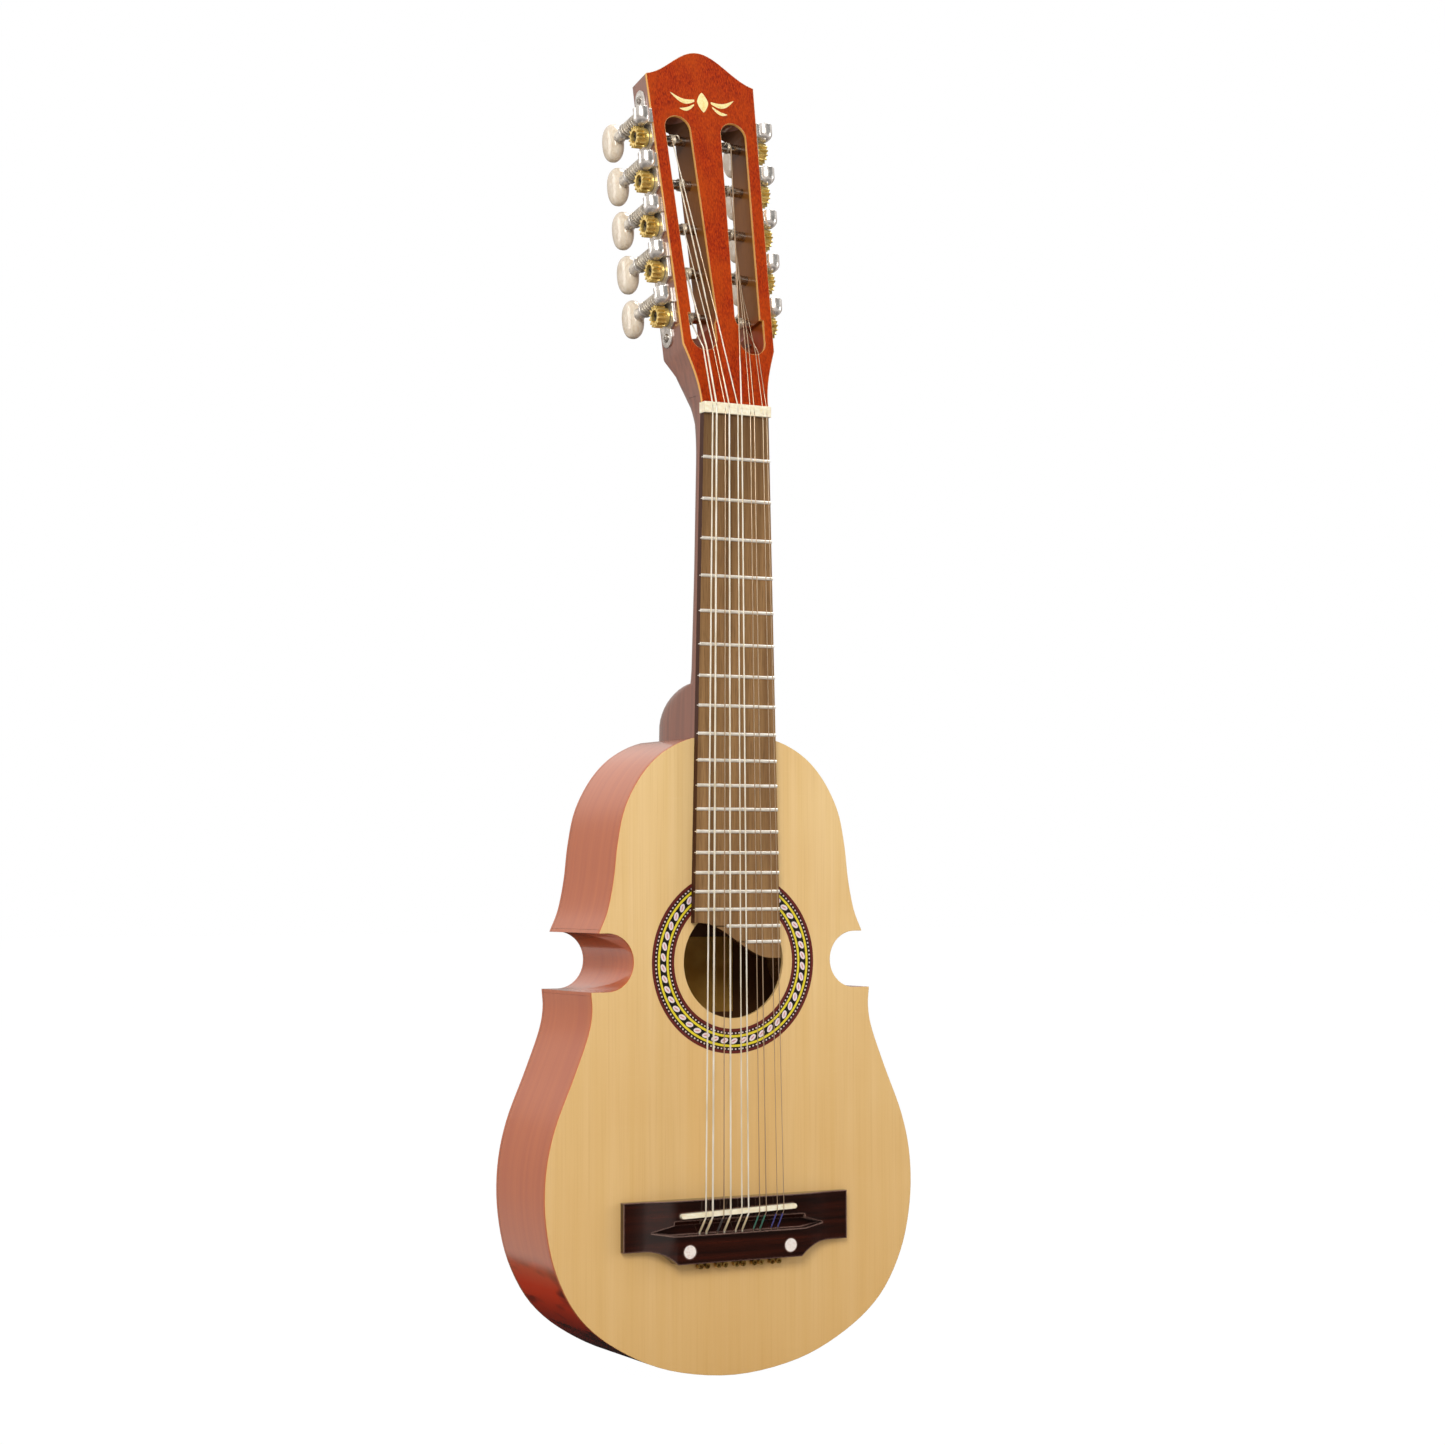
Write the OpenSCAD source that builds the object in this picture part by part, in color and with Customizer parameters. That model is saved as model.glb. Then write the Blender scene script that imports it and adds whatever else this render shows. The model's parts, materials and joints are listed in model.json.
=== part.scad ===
// Ten-string cuatro: a small waisted guitar with five double courses and a slotted head.
// Frame: origin on the outer face of the back, on the centre line, straight behind the
// saddle line. +Z points to the head, the soundboard faces -Y, +X is the treble side.

/* [Scale] */
// Length of a string from nut to saddle line
scale_len = 510; // [500:1:520]
// Number of frets
fret_count = 19; // [12:1:19]

/* [Body] */
// Depth from the soundboard's front to the back's outer face
body_depth = 76; // [60:1:90]
// Thickness of the soundboard
top_t = 2.6; // [2:0.1:4]
// Thickness of the back plate
back_t = 2.8; // [2:0.1:4]
// Thickness of the bent ribs
rib_t = 2.2; // [1.6:0.1:3]
// Radius of the round bottom of the bite cut into each side
bite_r = 18.4; // [16:0.1:20]
// Radius of the soundhole
hole_r = 36; // [32:0.5:40]
// Inner radius of the rosette
rosette_in = 42.8; // [41:0.2:46]
// Outer radius of the rosette
rosette_out = 58.6; // [54:0.2:60]

/* [Neck] */
// Width of the fretboard at the nut
nut_w = 47.4; // [44:0.2:50]
// Thickness of the fretboard
board_t = 5.2; // [4.5:0.1:6]
// Least depth of the neck behind the fretboard
neck_d = 14.3; // [13:0.1:18]
// Backward tilt of the head's face, in degrees
head_tilt = 12.3; // [8:0.1:15]
// Thickness of the head veneer
veneer_t = 2; // [1:0.1:3]

/* [Bridge] */
// Half length of the bridge from tip to tip
bridge_half = 80.5; // [78:0.5:86]
// Height of the bridge's middle above the soundboard
bridge_h = 9; // [8:0.5:10]
// Height of the bridge's wings
wing_h = 4.5; // [3:0.5:6]
// Height of the saddle's crown above the soundboard
saddle_h = 11.6; // [11:0.1:13]

/* [Tuners] */
// Distance between neighbouring string posts
tuner_pitch = 31.2; // [30:0.1:32]
// Number of teeth on each gear
gear_teeth = 14; // [14:1:14]
// Tip radius of a gear
gear_tip = 7.4; // [7.2:0.1:7.6]
// Core radius of a worm
worm_core = 3.2; // [3:0.1:3.3]
// Tip radius of a worm's thread
worm_tip = 5; // [4.8:0.1:5.1]
// Radius of a string post
post_r = 3.2; // [3:0.1:3.4]
// Length of an oval button
button_len = 26; // [22:1:28]
// Width of an oval button, along its shaft
button_w = 19.5; // [14:0.5:20]
// Thickness of an oval button
button_t = 11.4; // [7:0.2:12]

/* [Hidden] */

$fn = 64;
eps = 0.05;
joint_gap = 0.1;          // glue line between neighbouring ribs, so each stays its own solid
running = 0.05;           // radial clearance of a turning shaft

// planes of the body, along Y
front_y = -body_depth;
top_in_y = front_y + top_t;
back_in_y = -back_t;
board_y = front_y - board_t;
body_top_z = scale_len - 209.5;
body_end_z = scale_len - 614.3;
hole_z = scale_len - 352.6;
bite_x = 89.5;
bite_z = scale_len - 352;
flat_half = 29;           // flat land of the outline where the neck's heel sits
lining_w = 5;
lining_h = 12;

// half outline of the body, from the edge of the heel land round to the tail
design_scale = 510;       // scale length the outline's heights are written for
outline_shape = [[flat_half, 300.5], [50, 291.2], [65.5, 276.4], [77.2, 255.5], [82.4, 233],
    [85.2, 210], [89.5, 190], [95.8, 175], [101, 158], [100.8, 141], [100, 127], [102.9, 112],
    [112.5, 87],
    [125.5, 55.3], [131.5, 27], [131.2, -3], [124, -33.7], [108, -61.5], [82, -82.3],
    [46, -98], [0, -104.3]];
outline_shift = [0, scale_len - design_scale];
outline_knots = [for (k = outline_shape) k + outline_shift];
knot_first = [2, 303] + outline_shift;
knot_last = [-46, -98] + outline_shift;
span_steps = 5;

// one point of a Catmull-Rom curve between b and c
function curve_point(a, b, c, d, t) = 0.5 * (2 * b + (c - a) * t
    + (2 * a - 5 * b + 4 * c - d) * t * t + (3 * b - a - 3 * c + d) * t * t * t);
outline_padded = concat([knot_first], outline_knots, [knot_last]);
outline_half = concat([for (i = [1:len(outline_knots) - 1], j = [0:span_steps - 1])
    curve_point(outline_padded[i - 1], outline_padded[i], outline_padded[i + 1],
        outline_padded[i + 2], j / span_steps)], [outline_knots[len(outline_knots) - 1]]);

// unit vector pointing out of the body at point i of the half outline
function outward(i) = let (a = outline_half[max(i - 1, 0)],
    b = outline_half[min(i + 1, len(outline_half) - 1)],
    d = i == 0 ? [1, 0] : i == len(outline_half) - 1 ? [-1, 0] : (b - a) / norm(b - a))
    [-d.y, d.x];
function inset_half(gap) = [for (i = [0:len(outline_half) - 1]) outline_half[i] - gap * outward(i)];
function mirrored(half) = [for (i = [len(half) - 2:-1:0]) [-half[i].x, half[i].y]];
function full_outline(gap) = let (half = inset_half(gap)) concat(half, mirrored(half));

// neck and fretboard
taper = 7 / 319;          // growth of the fretboard's half width per millimetre
function board_half(z) = nut_w / 2 + (scale_len - z) * taper;
function fret_z(n) = scale_len * pow(2, -n / 12);
function smooth(t) = let (u = min(max(t, 0), 1)) u * u * (3 - 2 * u);
board_end_left = scale_len - 327.5;
board_end_right = scale_len - 350.4;
board_end_half = board_half(board_end_left);
function board_end(x) = board_end_left
    - (board_end_left - board_end_right) * smooth((x / board_end_half + 0.85) / 1.65);
fret_w = 2.2;
tang_w = 0.6;
tang_d = 2.2;
nut_len = 7;
nut_top_y = board_y - 2.4;
nut_half = nut_w / 2 + 0.6;
tenon_w = 20;
tenon_len = 14;
tenon_depth = 42;
heel_step = 11;           // length of the heel's foot before its curve starts
heel_r = 24.5;            // length of the heel's curve along the neck
heel_d = 74.5;
heel_power = 0.6;         // roundness of a section: 1 is an ellipse, 0 a box
neck_power = 0.75;
throat_start = scale_len - 30;
throat_len = 52;
throat_top = scale_len + 39;    // where the throat's corner edges meet the head's back
throat_low = scale_len + 12;
throat_lean = 0.72;       // how far the corner edges run forward for each mm down

// head: local x stays X, local y runs back from the face, local z runs up the face
head_y = front_y - 4.5;
head_z = scale_len + 5;
edge_start = 42;
edge_half = 33.2446;
edge_lean = 2.07;         // lean of each side edge from the centre line, in degrees
shoulder_s = 233;
apex_rise = 20.3;
function edge_x(s) = edge_half + (s - edge_start) * tan(edge_lean);
shoulder_x = edge_x(shoulder_s);
throat_half = 24.2;
function head_half(s) = s < edge_start
    ? throat_half + (edge_half - throat_half) * (1 - cos(90 * max(s - 2, 0) / (edge_start - 2)))
    : edge_x(s);
function crown_s(x) = let (u = abs(x) / shoulder_x)
    shoulder_s + apex_rise * (0.4 * (1 + cos(180 * u)) + 0.2 * (1 - u * u));
slot_in = 18;             // slot centre line, inside the head's side edge
slot_r = 9.5;
slot_low = 64;
slot_high = 195;
ramp_low = 48;
ramp_slope = 28;

// tuner line: local x is X, local y runs back across the plate, local z runs up the plate
line_tilt = 9.74;
line_y = -61.35;
line_z = scale_len + 0.8;
head_back = 12;           // head's back surface behind the posts' axes
plate_t = 1.2;
plate_gap = 0.05;         // hair between a plate and the head's side
plate_back = 10;
gear_in = 3.8;            // inner face of a gear, outside the head's edge
gear_w = 6.2;
worm_x = gear_in + gear_w / 2;
gear_root = 5.4;
hub_in = 1.6;             // inner face of a gear's hub, outside the head's edge
hub_r = 6.3;
recess = 2.6;             // depth of the round recess in a gear's face
worm_rise = gear_tip + worm_core + 0.2;
first_post = 66.5;
thread_lead = 2 * PI * 6.45 / gear_teeth;
turn_steps = 16;
thread_first = -27;       // steps of the thread in front of the posts' line
thread_last = 75;
worm_from = -6.4;
worm_to = 14.6;
cap_y = -8.7;
cap_r = 5.4;
cap_top = 5.6;            // height of a front cap above its worm's axis
cap_back = -6.5;
ear_from = 14.7;
ear_to = 16.7;
ear_r = 5.4;
pivot_r = 2;
journal_r = 2.6;
button_y = 35.4;
function post_t(k) = first_post + tuner_pitch * (5 - k);
plate_low = post_t(5) - 13.5;
plate_high = post_t(1) + 28;
tab_y = 2.5;              // a plate's screws lie this far behind the posts' line

// strings: course i runs from 0 on the bass side to 4
string_r = [0.5, 0.62, 0.36, 0.55, 0.42, 0.48, 0.3, 0.32, 0.25, 0.25];
coil_in = [16.5, 18.5, 17.5, 15.5, 13.5]; // where each post's string lands, from the head's edge
dip_s = [60, 44, 42, 40, 40];             // where each post's string leaves the head's face
function nut_x(i) = (floor(i / 2) - 2) * 9.2 + (i % 2 - 0.5) * 2.9 + 1.3;
function saddle_x(i) = (floor(i / 2) - 2) * 12.9 + (i % 2 - 0.5) * 4.8 + 1.5;
saddle_crown_y = front_y - saddle_h;
tie_hole_y = front_y - 3.6;
trough_top = -7;
trough_low = -13.5;
bridge_low = -31.5;
wing_top = 8.5;
wing_low = -22.5;
block_half = 44.6;
ramp_end = 68;
dot_x = 36.3;
dot_z = -23.8;
dot_r = 4.2;
saddle_left = -43.5;
saddle_right = 39.5;
saddle_t = 3.2;
saddle_lean = 1.7;

// ---------------------------------------------------------------- helpers

// extrude an outline drawn in X and Z between two depths
module slab(y0, y1) {
    translate([0, y1, 0])
    rotate([90, 0, 0])
    linear_extrude(y1 - y0) children();
}

module body_outline(gap = 0) {
    difference() {
        polygon(full_outline(gap));
        for (side = [-1, 1]) bite(side, gap);
    }
}

// the bite: a slot with a round bottom, open towards the side
module bite(side, gap) {
    translate([side * bite_x, bite_z]) {
        circle(bite_r + gap);
        translate([side > 0 ? 0 : -40, -bite_r - gap]) square([40, 2 * (bite_r + gap)]);
    }
}

module in_head() {
    translate([0, head_y, head_z])
    rotate([-head_tilt, 0, 0]) children();
}

module on_line() {
    translate([0, line_y, line_z])
    rotate([-line_tilt, 0, 0]) children();
}

// place a part beside the head's edge: x runs outwards from the edge, side is -1 or 1
module beside(side, t) {
    on_line()
    translate([side * edge_x(t), 0, t])
    rotate([0, side * edge_lean, 0]) children();
}

// rod between two points
module rod(a, b, r) {
    v = b - a;
    translate(a)
    rotate([0, acos(v.z / norm(v)), atan2(v.y, v.x)])
    cylinder(h = norm(v), r = r, $fn = 16);
}

// ---------------------------------------------------------------- body

module soundboard() {
    color("burlywood")
    difference() {
        slab(front_y, top_in_y) body_outline();
        slab(front_y - 1, 0) translate([0, hole_z]) circle(hole_r, $fn = 128);
        slab(front_y - 1, front_y + 1.2) translate([0, hole_z]) circle(rosette_out, $fn = 128);
        for (side = [-1, 1])
            translate([side * dot_x, 0, dot_z]) rotate([90, 0, 0]) cylinder(h = 100, r = 2.1);
    }
    color("burlywood")
    slab(front_y, front_y + 1.2) translate([0, hole_z]) difference() {
        circle(rosette_in, $fn = 128);
        circle(hole_r, $fn = 128);
    }
}

module rosette() {
    color("darkred")
    slab(front_y, front_y + 1.2) translate([0, hole_z]) difference() {
        circle(rosette_out, $fn = 128);
        circle(rosette_in, $fn = 128);
    }
}

module back_plate() {
    color("sienna") slab(back_in_y, 0) body_outline();
}

module side_ribs() {
    color("saddlebrown")
    slab(top_in_y, back_in_y) {
        for (side = [-1, 1]) {
            // bite rib, between the two corners
            intersection() {
                polygon(full_outline(0));
                difference() {
                    bite(side, rib_t);
                    bite(side, 0);
                }
            }
            // upper and lower bouts
            for (upper = [0, 1])
                intersection() {
                    difference() {
                        polygon(full_outline(0));
                        polygon(full_outline(rib_t));
                        for (s = [-1, 1]) bite(s, rib_t + joint_gap);
                        translate([-tenon_w / 2, body_top_z - 10]) square([tenon_w, 20]);
                    }
                    translate([side > 0 ? joint_gap / 2 : -200, upper ? bite_z : bite_z - 300])
                        square([200 - joint_gap / 2, 300]);
                }
        }
    }
}

module inner_space(gap) {
    slab(top_in_y, back_in_y) body_outline(gap);
}

module block_zones() {
    translate([-32, -100, body_top_z - rib_t - 34]) cube([64, 120, 34]);
    translate([-34, -100, body_end_z]) cube([68, 120, 20]);
    for (side = [-1, 1], z = [bite_z + 17, bite_z - 31])
        translate([side > 0 ? 70 : -100, -100, z]) cube([30, 120, 14]);
}

module body_blocks() {
    color("peru")
    difference() {
        intersection() {
            inner_space(rib_t);
            block_zones();
        }
        translate([-tenon_w / 2, top_in_y - 1, body_top_z - tenon_len])
            cube([tenon_w, tenon_depth + 1, tenon_len]);
    }
}

module linings() {
    color("peru")
    difference() {
        for (y = [top_in_y, back_in_y - lining_h])
            slab(y, y + lining_h) difference() {
                body_outline(rib_t);
                body_outline(rib_t + lining_w);
            }
        cleared_zones();
    }
}

// the blocks' zones with a hair of room, so linings stop short of the blocks
module cleared_zones() {
    for (d = [-joint_gap, joint_gap]) {
        translate([0, 0, d]) block_zones();
        translate([d, 0, 0]) block_zones();
    }
}

module braces() {
    color("tan")
    difference() {
        intersection() {
            inner_space(rib_t + lining_w + 0.3);
            brace_bars();
        }
        for (side = [-1, 1])
            translate([side * dot_x, 0, dot_z]) rotate([90, 0, 0]) cylinder(h = 100, r = 2.1);
    }
}

module brace_bars() {
    bar_h = 9;
    // bars across the top, above and below the soundhole
    for (z = [hole_z + 62, hole_z - 66])
        translate([-140, top_in_y, z]) cube([280, bar_h, 7]);
    // fan braces behind the bridge
    for (i = [-2:2])
        translate([i * 22, top_in_y, -78 + abs(i) * 6]) rotate([0, i * 7, 0])
            translate([-3, 0, 0]) cube([6, 6, 46 - abs(i) * 6]);
    // bridge plate
    translate([-64, top_in_y, -28]) cube([128, 2.4, 32]);
    // bars across the back
    for (z = [240, 100, 20, -55])
        translate([-140, back_in_y - 11, z]) cube([280, 11, 8]);
}

// ---------------------------------------------------------------- neck

// the head's back surface at a height
function back_plane_y(z) = line_y + head_back / cos(line_tilt) + (z - line_z) * tan(line_tilt);

// depth of the neck behind the fretboard plane; it swells into the head above throat_start
function neck_depth(z) = let (shaft = neck_d + 0.04 * max(0, scale_len - 100 - z),
    u = smooth((z - throat_start) / throat_len))
    shaft * (1 - u) + u * (back_plane_y(z) - front_y);
function throat_power(z) = neck_power - 0.65 * smooth((z - scale_len + 10) / 46);

// one section: the rounded back from +x to -x, then the flat front
function section(z, w, base, depth, power, front) = concat(
    [for (a = [0:7.5:180])
        [w * sign(cos(a)) * pow(abs(cos(a)), power), base + depth * pow(sin(a), power), z]],
    [[-w, front, z], [w, front, z]]);

module loft(sections) {
    n = len(sections[0]);
    m = len(sections);
    polyhedron(
        points = [for (s = sections) each s],
        faces = concat(
            [[for (i = [0:n - 1]) i]],
            [for (j = [0:m - 2], i = [0:n - 1])
                [j * n + i, (j + 1) * n + i, (j + 1) * n + (i + 1) % n, j * n + (i + 1) % n]],
            [[for (i = [n - 1:-1:0]) (m - 1) * n + i]]),
        convexity = 6);
}

function head_core_y(z) = head_y + veneer_t / cos(head_tilt) + (z - head_z) * tan(head_tilt);

module neck_shaft() {
    foot = body_top_z + heel_step;
    loft(concat(
        [for (z = [body_top_z, body_top_z + heel_step / 2])
            section(z, board_half(z), front_y + 1, heel_d - 1, heel_power, front_y)],
        [for (a = [0:9:90]) let (z = foot + heel_r * sin(a))
            section(z, board_half(z), front_y + 1,
                neck_depth(z) + 2.5 - 1 + (heel_d - neck_depth(z) - 2.5) * cos(a),
                heel_power + (neck_power - heel_power) * a / 90, front_y)],
        [for (z = [foot + heel_r + 3, foot + heel_r + 9])
            section(z, board_half(z), front_y + 1, neck_depth(z) + (z < foot + heel_r + 6 ? 0.2 : -0.8),
                neck_power, front_y)],
        [for (z = [380, 410, 440, for (i = [0:5]) throat_start + i * 5])
            section(z, board_half(z), front_y + 1, neck_depth(z) - 1, neck_power, front_y)],
        [for (z = [scale_len, scale_len + nut_len / 2, scale_len + nut_len])
            section(z, nut_w / 2, front_y + 1, neck_depth(z) - 1, throat_power(z), front_y)]));
    head_foot = scale_len + nut_len;
    loft([for (i = [0:8]) let (z = head_foot + i * 3.75, s = (z - head_z) / cos(head_tilt),
            base = max(front_y + 1, head_core_y(z) + 1))
        section(z, i == 0 ? nut_w / 2 : head_half(s), base,
            front_y + neck_depth(z) - base, throat_power(z), head_core_y(z))]);
}

module slot_shape() {
    for (side = [-1, 1])
        translate([side * (edge_x(slot_low) - slot_in), slot_low]) rotate(-side * edge_lean) {
            circle(slot_r);
            translate([-slot_r, 0]) square([2 * slot_r, slot_high - slot_low]);
            translate([0, slot_high - slot_low]) circle(slot_r);
        }
}

// sloping floor at the low end of each slot, where the strings dip in
module slot_ramps() {
    for (side = [-1, 1])
        translate([side * (edge_x(slot_low) - slot_in), 0, 0])
        rotate([0, side * edge_lean, 0])
        intersection() {
            slab(-1, 20) union() {
                translate([0, ramp_low]) circle(slot_r);
                translate([-slot_r, ramp_low]) square([2 * slot_r, slot_low - ramp_low]);
            }
            translate([-20, 0, ramp_low - slot_r])
            rotate([ramp_slope - 90, 0, 0])
            translate([0, -40, -40]) cube([40, 40, 80]);
        }
}

module head_outline() {
    half = concat(
        [for (s = [0.5, for (i = [1:9]) 0.5 + i * (edge_start - 0.5) / 9]) [head_half(s), s]],
        [for (i = [0:16]) let (x = shoulder_x * (1 - i / 16)) [x, crown_s(x)]]);
    polygon(concat(half, mirrored(half)));
}

module post_bores() {
    for (side = [-1, 1], k = [1:5])
        beside(side, post_t(k)) rotate([0, 90, 0])
            translate([0, 0, side > 0 ? -33 : -2]) cylinder(h = 35, r = post_r + running);
}

module screw_bores() {
    bore = [10, 1.4 + running];
    screw_places() translate([0, 0, -bore.x + 0.5]) cylinder(h = bore.x, r = bore.y);
    mirror([1, 0, 0]) screw_places() translate([0, 0, -bore.x + 0.5]) cylinder(h = bore.x, r = bore.y);
}

// the head's block as seen from the side: its back runs forward below throat_top
module head_side_profile() {
    back = back_plane_y(throat_top);
    low = back - throat_lean * (throat_top - throat_low);
    rotate([90, 0, 90]) translate([0, 0, -60]) linear_extrude(120)
        polygon([[-90, throat_low], [-90, 900], [30, 900], [30, throat_top + 40],
            [back + 0.4, throat_top], [low, throat_low]]);
}

module neck() {
    color("saddlebrown")
    difference() {
        union() {
            neck_shaft();
            translate([-tenon_w / 2, top_in_y, body_top_z - tenon_len])
                cube([tenon_w, tenon_depth, tenon_len + 3]);
            intersection() {
                in_head() slab(veneer_t, 40) head_outline();
                on_line() translate([-60, -60, 0]) cube([120, 60 + head_back, 260]);
                head_side_profile();
            }
        }
        in_head() slab(-1, 60) slot_shape();
        in_head() slot_ramps();
        post_bores();
        screw_bores();
    }
}

module head_veneer() {
    color("orangered")
    difference() {
        in_head() slab(0, veneer_t) head_outline();
        in_head() slab(-1, 60) slot_shape();
        in_head() slot_ramps();
        translate([-60, -120, scale_len - 20]) cube([120, 80, 20 + nut_len]);
    }
}

module fretboard() {
    end_steps = 16;
    color("saddlebrown")
    difference() {
        slab(board_y, front_y) polygon(concat(
            [[nut_w / 2, scale_len], [-nut_w / 2, scale_len]],
            [for (i = [0:end_steps])
                let (x = -board_end_half + 2 * board_end_half * i / end_steps)
                [i == end_steps ? board_half(board_end_right) : x, board_end(x)]]));
        for (n = [1:fret_count])
            translate([-40, board_y - 1, fret_z(n) - tang_w / 2])
                cube([80, tang_d + 1, tang_w]);
    }
}

// a fret stops where the curved end of the fretboard crosses it
function fret_left(n) = n < 18 ? -board_half(fret_z(n)) : n == 18 ? -8 : 7;

module frets() {
    color("silver")
    for (n = [1:fret_count]) {
        left = fret_left(n);
        len = board_half(fret_z(n)) - left;
        translate([left, board_y, fret_z(n)]) {
            difference() {
                rotate([0, 90, 0]) cylinder(h = len, r = fret_w / 2);
                translate([-1, 0, -5]) cube([len + 2, 10, 10]);
            }
            translate([0, -eps, -tang_w / 2]) cube([len, tang_d + eps, tang_w]);
        }
    }
}

module nut() {
    color("ivory")
    difference() {
        translate([-nut_half, nut_top_y, scale_len]) cube([2 * nut_half, front_y - nut_top_y, nut_len]);
        for (i = [0:9])
            rod([nut_x(i), nut_top_y - 0.1, scale_len - 2],
                [nut_x(i), nut_top_y + 1.1, scale_len + nut_len + 2], string_r[i] + 0.1);
    }
}

// ---------------------------------------------------------------- bridge

module bridge_plan() {
    flare_r = 29.9;
    difference() {
        union() {
            translate([-bridge_half, wing_low]) square([2 * bridge_half, wing_top - wing_low]);
            translate([-66, bridge_low]) square([132, wing_top - bridge_low]);
        }
        for (side = [-1, 1]) {
            translate([side * 66, wing_low - flare_r]) circle(flare_r);
            translate([side * 55.3 - 10.7, bridge_low - 20]) square([21.4, 20 + 0.01]);
        }
    }
}

module bridge_profile() {
    polygon([[-bridge_half, 0], [-bridge_half, wing_h], [-ramp_end, wing_h], [-60, wing_h + 1.6],
        [-52, wing_h + 3.6], [-block_half, bridge_h], [block_half, bridge_h],
        [52, wing_h + 3.6], [60, wing_h + 1.6], [ramp_end, wing_h], [bridge_half, wing_h],
        [bridge_half, 0]]);
}

module saddle_bar(r_end, y0, y1) {
    mid_x = (saddle_left + saddle_right) / 2;
    half = (saddle_right - saddle_left) / 2 - r_end;
    translate([mid_x, 0, 0]) rotate([0, -saddle_lean, 0])
    slab(y0, y1) {
        translate([-half, -r_end]) square([2 * half, 2 * r_end]);
        for (side = [-1, 1]) translate([side * half, 0]) circle(r_end);
    }
}

saddle_foot = front_y - bridge_h + 5;

module bridge() {
    color("#3a120c")
    difference() {
        intersection() {
            slab(front_y - bridge_h, front_y) bridge_plan();
            translate([0, front_y, -60]) mirror([0, 1, 0]) linear_extrude(120) bridge_profile();
        }
        // trough between the saddle bar and the tie block
        slab(front_y - 20, front_y - 2.2)
            polygon([[-62, -11], [-47, trough_top], [47, trough_top], [62, -11],
                [47, trough_low], [-47, trough_low]]);
        // bevel that lets the strings fall from the saddle to the tie holes
        translate([-47, front_y - bridge_h, trough_top]) rotate([90, 0, 90]) linear_extrude(94)
            polygon([[-5, 2.8], [0, 2.8], [2.8, -0.1], [-5, -0.1]]);
        saddle_bar(saddle_t / 2, front_y - 20, saddle_foot);
        for (i = [0:9])
            translate([saddle_x(i), tie_hole_y, bridge_low - 5]) cylinder(h = 25, r = 0.95);
        for (side = [-1, 1])
            translate([side * dot_x, front_y, dot_z]) rotate([90, 0, 0]) {
                translate([0, 0, bridge_h - 1.2]) cylinder(h = 5, r = dot_r);
                translate([0, 0, bridge_h - 4.2]) cylinder(h = 5, r = 3.6);
                translate([0, 0, -1]) cylinder(h = 20, r = 2.1);
            }
    }
}

module saddle() {
    color("ivory") saddle_bar(saddle_t / 2, saddle_crown_y, saddle_foot);
}

module bridge_dots() {
    color("whitesmoke")
    for (side = [-1, 1])
        translate([side * dot_x, front_y - bridge_h + 1.2, dot_z]) rotate([90, 0, 0])
            cylinder(h = 1.2, r = dot_r);
}

module bridge_bolts() {
    color("silver")
    for (side = [-1, 1])
        translate([side * dot_x, front_y, dot_z]) rotate([90, 0, 0]) {
            translate([0, 0, bridge_h - 4.2]) cylinder(h = 2.8, r = 3.5);
            translate([0, 0, -10]) cylinder(h = bridge_h + 6, r = 2);
            translate([0, 0, -top_t - 2.4 - 3.2]) cylinder(h = 3.2, r = 3.9, $fn = 6);
        }
}

// ---------------------------------------------------------------- tuners

function gear_points() = let (tip_half = 3.1, root_half = 8.2, step = 360 / gear_teeth)
    [for (i = [0:gear_teeth - 1], c = [[gear_root, -root_half], [gear_tip - 0.5, -tip_half - 1.6],
        [gear_tip, -tip_half + 0.8], [gear_tip, tip_half - 0.8], [gear_tip - 0.5, tip_half + 1.6],
        [gear_root, root_half]])
        let (a = (i + 0.5) * step + c[1]) c[0] * [cos(a), sin(a)]];

module gear(side, k) {
    color("goldenrod")
    beside(side, post_t(k)) rotate([0, 90, 0]) rotate(180)
    difference() {
        union() {
            translate([0, 0, side > 0 ? gear_in : -gear_in - gear_w])
                linear_extrude(gear_w) polygon(gear_points());
            translate([0, 0, side > 0 ? hub_in : -gear_in - 1])
                cylinder(h = gear_in + 1 - hub_in, r = hub_r);
        }
        translate([0, 0, -20]) cylinder(h = 40, r = 2.4);
        translate([0, 0, side > 0 ? gear_in + gear_w - recess : -gear_in - gear_w - 1])
            cylinder(h = recess + 1, r = 4.1);
    }
}

module post(side, k) {
    color("silver")
    beside(side, post_t(k)) rotate([0, side * 90, 0])
    difference() {
        union() {
            translate([0, 0, -32]) cylinder(h = 32 + hub_in - 0.1, r = post_r);
            cylinder(h = gear_in + gear_w - recess, r = 2.4);
        }
        translate([0, 0, -slot_in - 4]) rotate([90, 0, 0])
            cylinder(h = 20, r = 0.8, center = true);
    }
}

// a worm stands on its own axis: z runs back along the shaft, from the line of the posts
module on_worm(side, k) {
    beside(side, post_t(k)) translate([side * worm_x, 0, worm_rise]) rotate([-90, 0, 0]) children();
}

// right-handed thread of a trapezoid section; step 0 lies at angle 0 and height 0
module thread() {
    root = worm_core - 0.4;
    profile = [[root, 0.62], [worm_tip, 0.26], [worm_tip, -0.26], [root, -0.62]];
    function ring(i) = let (a = 360 * i / turn_steps, z = thread_lead * i / turn_steps)
        [for (p = profile) [p.x * cos(a), p.x * sin(a), z + p.y]];
    steps = thread_last - thread_first;
    polyhedron(
        points = [for (i = [thread_first:thread_last]) each ring(i)],
        faces = concat([[0, 1, 2, 3]],
            [for (i = [0:steps - 1], j = [0:3])
                [i * 4 + j, (i + 1) * 4 + j, (i + 1) * 4 + (j + 1) % 4, i * 4 + (j + 1) % 4]],
            [[for (j = [3:-1:0]) steps * 4 + j]]),
        convexity = 10);
}

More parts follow.
